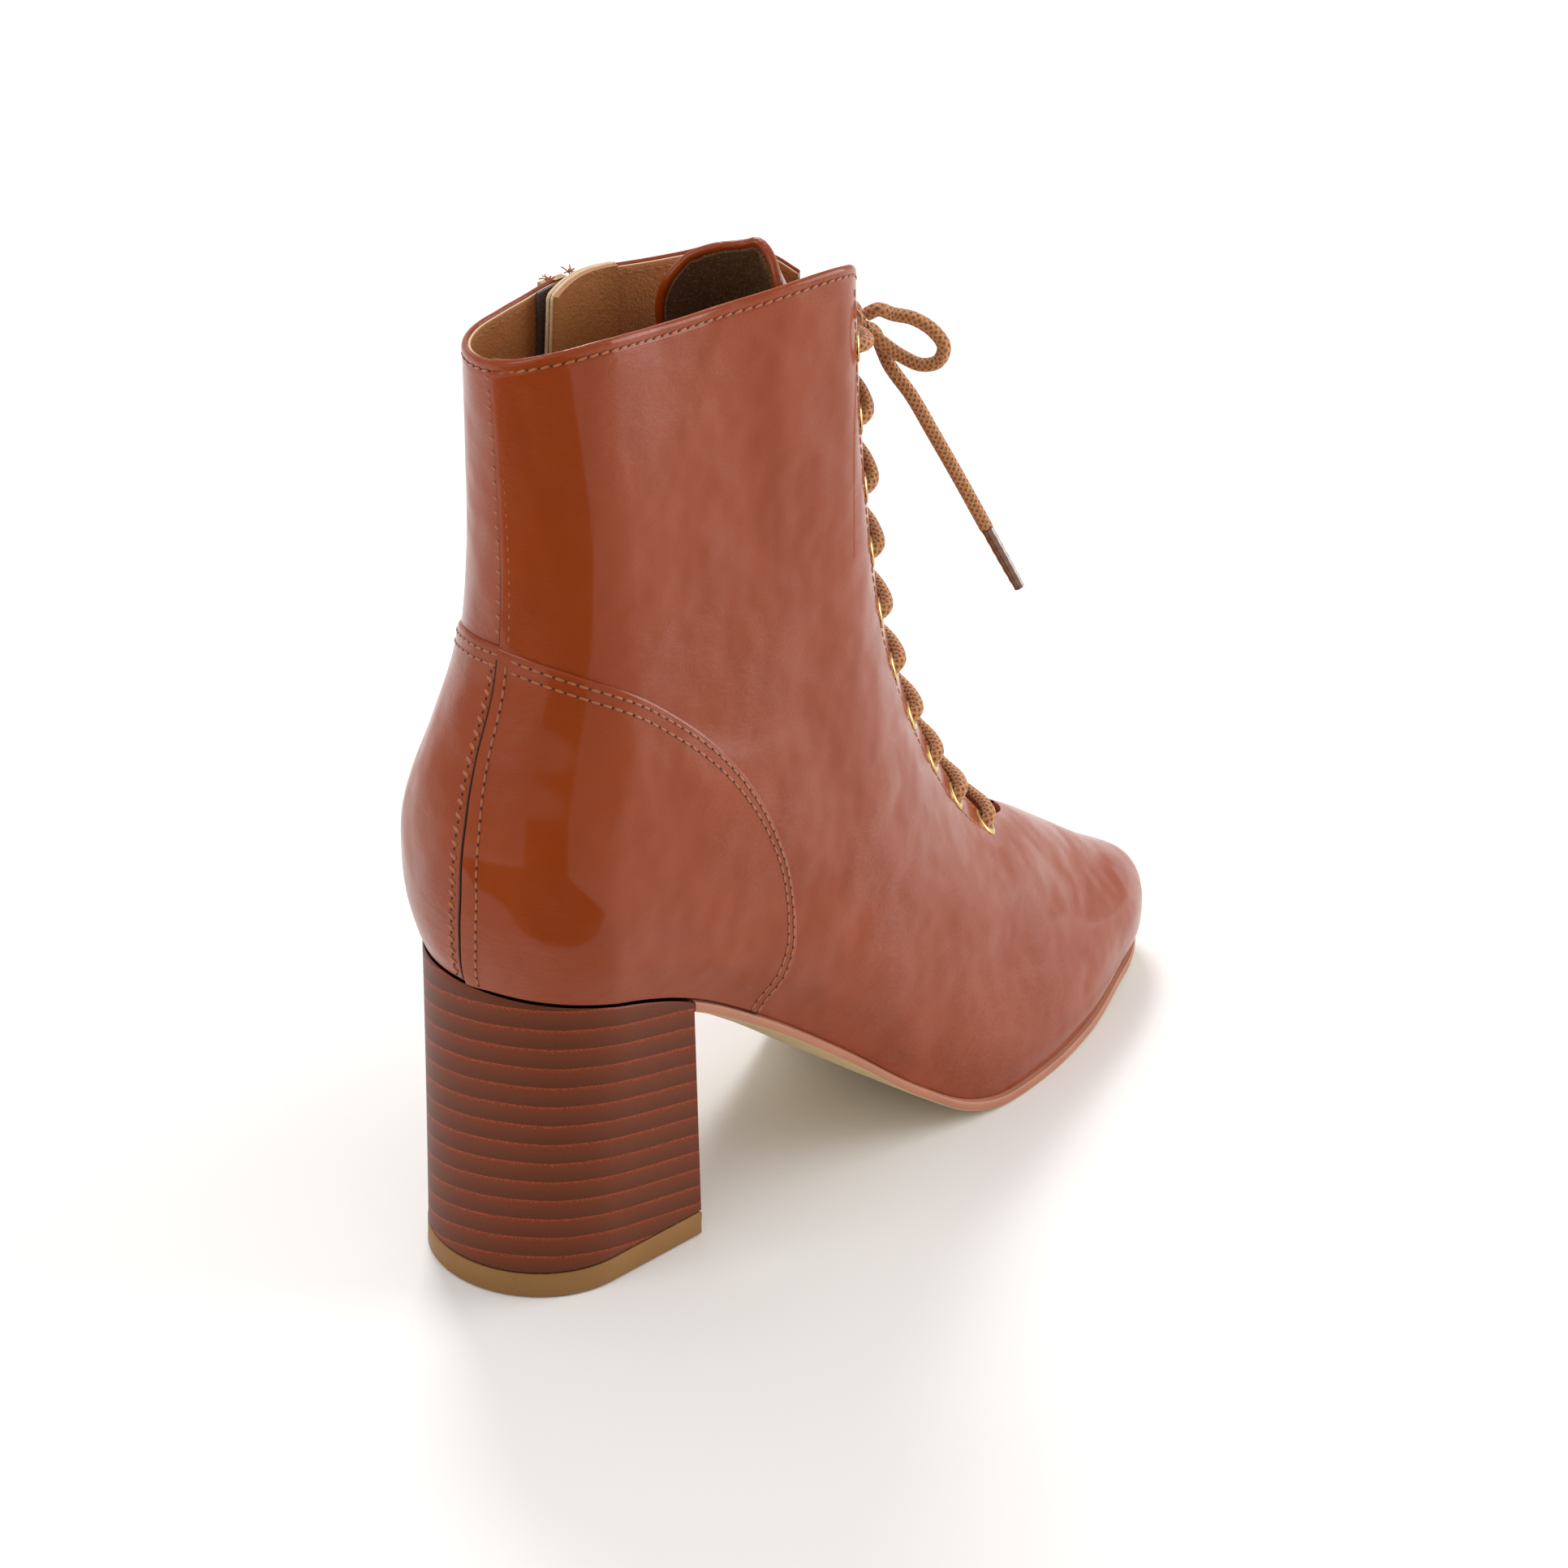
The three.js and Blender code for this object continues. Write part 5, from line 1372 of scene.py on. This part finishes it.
def lace_path(low, high, side, lift):
    """A crossing from its lower eyelet to under the far quarter's edge."""
    far = high[1] - EYELET_FROM_EDGE - LACE_DIAMETER / 2 - GAP
    top = low[0] + (high[0] - low[0]) * 0.76
    route = (
        (-0.02, -1.4), (0.0, 0.2), (0.05, 1.4), (0.12, 1.8), (0.3, 1.8 + lift * 0.4),
        (0.45, 1.8 + lift), (0.55, 1.6 + lift), (0.72, 0.9 + lift * 0.3), (1, LACE_DIVE - 0.3),
        (1.12, -2.5), (1.3, -3.2),
    )
    points = []
    for across, out in route:
        height = low[0] + (top - low[0]) * min(across, 1.1)
        place = side * low[1] + (-side * far - side * low[1]) * across
        points.append(over_face(turns_from_front(height, [place]), height, out)[0])
    return resample(points, 0.9)


def make_crossings():
    """The lace from eyelet to eyelet, one bar over the other."""
    lace = bpy.context.scene.boot_sizes.lace / MM
    for row in range(EYELET_ROWS - 1):
        bars = [
            tube(f"bar_{k}", lace_path(EYELET_ROWS_AT[row + 1], EYELET_ROWS_AT[row], side, lift), lace / 2, 18)
            for k, (side, lift) in enumerate(((-1, -1.2), (1, 1.6)))
        ]
        made = join(f"lace_bars_{row + 1}", bars)
        finish_piece(made, material("lace"), "boot", "lace_braid", f"lace_cross_{row + 1}")
    height, place = EYELET_ROWS_AT[0]
    half = ((-0.02, -1.4), (0, 0.4), (0.045, 1.9), (0.13, 2.4), (0.25, 2.0), (0.5, LACE_DIVE))
    route = half + tuple((1 - a, o) for a, o in half[-2::-1])
    points = [
        over_face(turns_from_front(height, [place * (2 * a - 1)]), height, o)[0] for a, o in route
    ]
    made = tube("lace_bar_top", resample(points, 0.9), lace / 2, 18)
    finish_piece(made, material("lace"), "boot", "lace_braid", "lace_top_bar")


def turned_ring(name, profile, steps=40):
    """A closed profile (radius, height) spun once round the Z axis."""
    angle = np.linspace(0, 2 * np.pi, steps + 1)
    profile = np.array([*profile, profile[0]], float)
    points = np.stack([
        profile[:, 0][:, None] * np.cos(angle), profile[:, 0][:, None] * np.sin(angle),
        np.repeat(profile[:, 1][:, None], steps + 1, 1),
    ], -1)
    ring = join(name, [grid_piece(name, points)], weld=0.001)
    bpy.ops.object.mode_set(mode="EDIT")
    bpy.ops.mesh.select_all(action="SELECT")
    bpy.ops.mesh.normals_make_consistent(inside=False)
    bpy.ops.object.mode_set(mode="OBJECT")
    return ring


def make_eyelets():
    """Rolled brass rings with a barrel through the leather."""
    profile = [(2.0, -1.9), (2.25, -1.9), (2.35, -0.1), (3.0, -0.1), (3.75, -0.15), (3.9, 0.0)]
    profile += [(3.7, 0.25), (3.3, 0.4), (2.8, 0.42), (2.35, 0.3), (2.08, 0.0)]
    shape = turned_ring("eyelet_shape", profile)
    base = np.array([v.co for v in shape.data.vertices]) / MM
    for name, side in SIDES:
        for row, (height, place) in enumerate(EYELET_ROWS_AT):
            turn = float(turns_from_front(height, [side * place])[0])
            out = outward(turn, height)
            across = np.cross((0, 0, 1), out)
            across /= np.linalg.norm(across)
            up = np.cross(out, across)
            ring = shape.copy()
            ring.data = shape.data.copy()
            ring.name = f"eyelet_ring_{name}_{row + 1}"
            bpy.context.scene.collection.objects.link(ring)
            set_points(ring, face(turn, height) + base @ np.stack([across, up, out]))
            smooth(ring, 60)
            finish_piece(ring, material("eyelet"), "boot", "eyelet_brass", f"eyelet_{name}_{row + 1}")
    bpy.data.objects.remove(shape, do_unlink=True)


# Heel and soles


def tread_outline(inset, count=120):
    start, end, half = -27.9 + inset, 27.9 - inset, 26.7 - inset
    angle = np.linspace(0, np.pi / 2, 60)
    line = np.stack([start + (26 - inset) * (1 - np.cos(angle)), half * np.sin(angle)], -1)
    line = np.concatenate([line, [[end, half]]])
    line = np.c_[line, np.zeros(len(line))]
    run = lengths(line)
    even = np.linspace(0, run[-1], count)
    line = np.stack([np.interp(even, run, line[:, c]) for c in range(3)], -1)
    return np.concatenate([line * (1, -1, 1), line[::-1]])


def feather_outline(out, start_x, end_x, count=120):
    back, front = SECTIONS[0][0] * LAST_LENGTH - HEEL_CENTRE, SECTIONS[0][2] * LAST_LENGTH - HEEL_CENTRE

    def turn_at(x):
        return float(np.arccos(np.clip(1 - 2 * (x - back) / (front - back), -1, 1)) / (2 * np.pi))

    sides = []
    for mirror in (False, True):
        turns = np.linspace(turn_at(start_x), turn_at(end_x), 400)
        if mirror:
            turns = 1 - turns
        along = face(turns + 0.002, 0) - face(turns - 0.002, 0)
        along[:, 2] = 0
        along /= np.linalg.norm(along, axis=1, keepdims=True)
        points = face(turns, 0) * (1, 1, 0) + np.c_[along[:, 1], -along[:, 0], 0 * turns] * out
        run = lengths(points)
        even = np.linspace(0, run[-1], count)
        sides.append(np.stack([np.interp(even, run, points[:, c]) for c in range(3)], -1))
    return np.concatenate([sides[0], sides[1][::-1]])


def under_feather(x):
    return sole_height((x + HEEL_CENTRE) / LAST_LENGTH) - GAP


def ringed(name, rings):
    """A closed form through rings of points, capped at both ends."""
    rings = [np.vstack([ring, ring[:1]]) for ring in rings]
    piece = grid_piece(name, np.stack(rings))
    join(name, [piece], weld=0.003)
    bpy.ops.object.mode_set(mode="EDIT")
    bpy.ops.mesh.select_all(action="SELECT")
    bpy.ops.mesh.region_to_loop()
    bpy.ops.object.mode_set(mode="OBJECT")
    half = len(rings[0]) // 2
    mesh = piece.data
    co = np.array([v.co for v in mesh.vertices])
    bpy.ops.object.mode_set(mode="EDIT")
    bpy.ops.mesh.edge_face_add() if False else bpy.ops.mesh.fill(use_beauty=True)
    bpy.ops.mesh.select_all(action="SELECT")
    bpy.ops.mesh.normals_make_consistent(inside=False)
    bpy.ops.object.mode_set(mode="OBJECT")
    assert half and len(co)
    return smooth(piece, 35)


def make_heel():
    """Wrapped block and its top piece."""
    foot = tread_outline(0.15)
    back = SECTIONS[0][0] * LAST_LENGTH - HEEL_CENTRE
    head = feather_outline(1.3, back, 19.6)
    top = under_feather(head[:, 0])
    rings = []
    for rise in np.concatenate([[0, 0.004], np.linspace(0.03, 0.97, 24), [0.994, 1.0]]):
        z = 6.8 + (top - 6.8) * rise
        ring = foot + (head - foot) * rise
        ring = np.c_[ring[:, :2], z]
        if rise in (0.0, 1.0):
            middle = ring.mean(0)
            ring = ring + (middle - ring) * (0.012, 0.012, 0)
        rings.append(ring)
    block = ringed("heel_wrapped_block", rings)
    finish_piece(block, material("heel"), "boot", "heel_wrap", "heel_block")
    rings = []
    for z, inset in ((0, 0.7), (0.12, 0.25), (0.5, 0), (3.2, 0.06), (6.1, 0), (6.45, 0.2), (6.5, 0.6)):
        ring = tread_outline(inset)
        ring[:, 2] = z
        rings.append(ring)
    piece = ringed("heel_tan_top_piece", rings)
    finish_piece(piece, material("top_piece"), "boot", "heel_tread", "heel_top_piece")


def make_outsole():
    """Thin outsole from the heel's breast to the toe, edges rounded."""
    front = SECTIONS[0][2] * LAST_LENGTH - HEEL_CENTRE
    rings = []
    count = 200
    for share in (0.0, 0.3, 0.55, 0.8):
        ring = feather_outline(0.3, 20.2, front, count)
        middle = (ring + np.concatenate([ring[count:][::-1], ring[:count][::-1]])) / 2
        ring = middle + (ring - middle) * share
        belly = 4.2 * np.clip((112 - ring[:, 0]) / 40, 0, 1) * np.clip((ring[:, 0] - 20) / 10, 0, 1)
        rings.append(np.c_[ring[:, :2], under_feather(ring[:, 0]) - 2.9 - belly * (1 - share**2)])
    for down, inset in ((2.9, 1.0), (2.8, 0.45), (2.5, 0.12), (1.9, 0), (1.0, 0), (0.4, 0.1), (0.1, 0.35), (0, 0.9),
                        (-0.4, 1.5), (-0.4, 3.0)):
        ring = feather_outline(1.3 - inset, 20.2, front, 200)
        rings.append(np.c_[ring[:, :2], under_feather(ring[:, 0]) - down])
    sole = ringed("outsole_edge", rings)
    sole.data.materials.append(material("sole_edge"))
    sole.data.materials.append(material("sole_face"))
    for polygon in sole.data.polygons:
        polygon.material_index = 1 if polygon.normal.z < -0.35 else 0
    finish_piece(sole, None, "boot", "sole_leather", "outsole")


def dress_node(name, finish, slot=None):
    """Gives a carried CAD node its finish."""
    obj = bpy.data.objects[name]
    obj.data.materials.clear()
    obj.data.materials.append(material(finish))


# Stage

CAMERA_AZIMUTH, CAMERA_ELEVATION, CAMERA_ROLL = 42.9, 27.5, 2.01
CAMERA_DISTANCE, CAMERA_TARGET, FOCAL_PIXELS = 1074.0, (68.6, -11.0, 103.0), 5501.0


def make_stage():
    a, e, roll = (math.radians(v) for v in (CAMERA_AZIMUTH, CAMERA_ELEVATION, CAMERA_ROLL))
    ahead = Vector((math.cos(a) * math.cos(e), math.sin(a) * math.cos(e), -math.sin(e)))
    right = Vector((math.sin(a), -math.cos(a), 0))
    up = right.cross(ahead)
    right2 = right * math.cos(roll) + up * math.sin(roll)
    up2 = up * math.cos(roll) - right * math.sin(roll)
    place = (Vector(CAMERA_TARGET) - ahead * CAMERA_DISTANCE) * MM
    camera_data = bpy.data.cameras.new("camera")
    camera_data.sensor_width = 36
    camera_data.lens = FOCAL_PIXELS / 1932 * 36
    camera_data.clip_start = 0.01
    camera = bpy.data.objects.new("camera", camera_data)
    turned = Matrix((right2, up2, -ahead)).transposed().to_4x4()
    turned.translation = place
    camera.matrix_world = turned
    bpy.context.scene.collection.objects.link(camera)
    bpy.context.scene.camera = camera
    clear_selection()
    bpy.ops.mesh.primitive_plane_add(size=8, location=(0, 0, -0.0002))
    floor = bpy.context.object
    floor.name = "studio_floor"
    floor.data.materials.append(material("floor"))
    world = bpy.data.worlds.new("studio")
    world.use_nodes = True
    world.node_tree.nodes["Background"].inputs["Color"].default_value = (1, 0.985, 0.97, 1)
    world.node_tree.nodes["Background"].inputs["Strength"].default_value = 0.72
    bpy.context.scene.world = world
    bpy.context.scene.view_settings.view_transform = "Standard"
    bpy.ops.mesh.primitive_plane_add(size=1, location=(0, 0, 0))
    flag = bpy.context.object
    flag.name = "dark_flag"
    flag.data.materials.append(material("flag"))
    co = np.array([v.co for v in flag.data.vertices])
    along, beside = np.array((-0.73, -0.68, 0)), np.array((0.68, -0.73, 0))
    set_points(flag, (along * (0.15 + 0.75 * (co[:, :1] + 0.5)) + beside * (0.62 * co[:, 1:2] - 0.13)
                      + np.array((0, 0, 0.0012))) / MM)
    flag.visible_camera = False
    flag.visible_diffuse = False
    flag.visible_shadow = False
    upright = flag.copy()
    upright.data = flag.data.copy()
    upright.name = "dark_flag_upright"
    bpy.context.scene.collection.objects.link(upright)
    set_points(upright, (along * 0.92 + beside * (0.62 * co[:, 1:2] - 0.13)
                         + np.array((0, 0, 0.34)) * (co[:, :1] + 0.5)) / MM)
    for name, at, size_, power in (
        ("key_softbox", (0.75, 1.0, 1.5), (0.5, 0.5), 17),
        ("side_softbox", (1.4, -0.9, 0.6), (1.2, 1.0), 18),
        ("fill_softbox", (-1.0, 0.2, 0.9), (0.5, 0.9), 4),
    ):
        light_data = bpy.data.lights.new(name, "AREA")
        light_data.shape = "RECTANGLE"
        light_data.size, light_data.size_y = size_
        light_data.energy = power
        light = bpy.data.objects.new(name, light_data)
        aim = Vector((0.05, 0, 0.12)) - Vector(at)
        light.rotation_euler = aim.to_track_quat("-Z", "Y").to_euler()
        light.location = at
        light.visible_camera = False
        bpy.context.scene.collection.objects.link(light)


def zip_place(distances, aheads, out):
    """Points beside the zip's line: down from the collar, ahead, out."""
    heights = zip_height(distances)
    middle = zip_turn(heights)
    inside = np.clip(heights, 0, 1)
    reach = np.linalg.norm(face(middle + 0.01, inside) - face(middle - 0.01, inside), axis=-1) / 0.02
    return over_face(middle + aheads / reach, heights, out)


def make_guard():
    """Flap behind the zip with a rounded head and a pale bound edge."""
    rows, columns = 60, 24
    grid = []
    for i in range(rows + 1):
        share = i / rows
        across = np.linspace(0, 1, columns + 1)
        dome = 1.4 * (1 - np.clip((across - 0.3) / 0.7, 0, 1) ** 2.4) + 1.0 * across
        distance = (ZIP_LENGTH - 4) * (1 - share) - (dome - 1.0) * share
        ahead = -14 + 25 * across
        lift = 3 * across**2 * share
        grid.append(zip_place(distance, ahead, -(3.7 + lift)))
    points = np.stack(grid)
    flap = grid_piece("zip_guard_flap", points)
    only(flap)
    wall = flap.modifiers.new("wall", "SOLIDIFY")
    wall.thickness = 1.5 * MM
    wall.offset = -1
    apply_modifiers(flap)
    smooth(flap, 50)
    finish_piece(flap, material("lining"), "boot", "lining_leather", "zip_guard")
    line = resample(np.concatenate([points[-1], points[:-1, -1][::-1]]), 1.5)
    binding = join("zip_guard_edge", [
        tube("edge_front", line, 0.42, 8), tube("edge_back", line + (-0.6, 0.7, 0.0), 0.42, 8)
    ])
    finish_piece(binding, material("cut_edge"), "boot", "lining_leather")


def make_frays():
    """Loose thread ends where the rim's stitching stops beside the zip."""
    rng = np.random.default_rng(5)
    strands = []
    for ahead in (-3.4, 3.4):
        start = zip_place(np.array([0.4]), np.array([ahead]), 0.2)[0]
        for k in range(7):
            turn = rng.uniform(-1, 1, 3) * (0.9, 0.9, 0.3) + (0, 0, 0.35)
            bend = rng.uniform(-1, 1, 3) * 0.8
            line = resample([start + rng.uniform(-0.5, 0.5, 3), start + turn, start + 1.7 * turn + bend], 0.3)
            strands.append(tube(f"fray_{ahead}_{k}", line, 0.17, 6))
    finish_piece(join("thread_ends", strands), material("thread"), "boot", "upper_leather")


def make_zip():
    make_guard()
    make_frays()
    dress_node("zip_tape", "tape")
    heights = zip_height(np.linspace(1.0, ZIP_LENGTH - 2, 260))
    middle = zip_turn(heights)
    reach = np.linalg.norm(face(middle + 0.01, heights) - face(middle - 0.01, heights), axis=-1) / 0.02
    teeth = join("zip_teeth", [
        stitch_row(f"teeth_{k}", middle + side * 0.85 / reach, heights, -0.95, 1.3, 2.6, 1.0, math.pi / 2, phase)
        for k, (side, phase) in enumerate(((-1, 0.25), (1, 0.75)))
    ])
    smooth(teeth, 40)
    finish_piece(teeth, material("zip"), "boot", "zip_metal", "zip_chain")
    dress_node("zip_slider", "zip")
    dress_node("zip_pull_tab", "zip")


def make_insole():
    dress_node("insole", "lining")


# Add-on

STEPS = (
    ("stage", "Stage and camera", "Sets the floor, the lights and the camera.", make_stage),
    ("bow", "Bow", "Ties the bow of round lace.", make_bow),
    ("crossings", "Lace bars", "Runs the lace from eyelet to eyelet.", make_crossings),
    ("eyelets", "Eyelets", "Sets the brass eyelets.", make_eyelets),
    ("leather", "Upper leather", "Lays the outer leather over the last.", make_upper_leather),
    ("lining", "Lining", "Lines the shaft.", make_lining),
    ("counters", "Heel counters", "Lays the counters over the heel.", make_counters),
    ("tongue", "Tongue", "Makes the tongue.", make_tongue),
    ("stitching", "Stitching", "Sews the seams.", make_stitching),
    ("heel", "Heel", "Builds the heel.", make_heel),
    ("outsole", "Outsole", "Builds the outsole.", make_outsole),
    ("insole", "Insole", "Covers the insole board.", make_insole),
    ("zip", "Zip", "Finishes the zip.", make_zip),
)


def operator_for(name, label, text, make):
    def execute(self, context):
        make()
        return {"FINISHED"}

    return type(
        f"BOOT_OT_{name}", (bpy.types.Operator,),
        {"bl_idname": f"boot.{name}", "bl_label": label, "__doc__": text, "execute": execute},
    )


OPERATORS = [operator_for(*step) for step in STEPS]


class BOOT_PT_panel(bpy.types.Panel):
    """Lists the boot's pieces, sizes and colours."""

    bl_label = "Boot"
    bl_space_type = "VIEW_3D"
    bl_region_type = "UI"
    bl_category = "Boot"

    def draw(self, context):
        for group in (context.scene.boot_sizes, context.scene.boot_colours):
            for name in group.__annotations__:
                self.layout.prop(group, name)
        for operator in OPERATORS:
            self.layout.operator(operator.bl_idname)


CLASSES = (BootColours, BootSizes, *OPERATORS, BOOT_PT_panel)


def register():
    for item in CLASSES:
        bpy.utils.register_class(item)
    bpy.types.Scene.boot_colours = bpy.props.PointerProperty(type=BootColours)
    bpy.types.Scene.boot_sizes = bpy.props.PointerProperty(type=BootSizes)


def unregister():
    del bpy.types.Scene.boot_sizes
    del bpy.types.Scene.boot_colours
    for item in reversed(CLASSES):
        bpy.utils.unregister_class(item)


def main():
    register()
    for name, *_ in STEPS:
        getattr(bpy.ops.boot, name)()


if __name__ == "__main__":
    main()
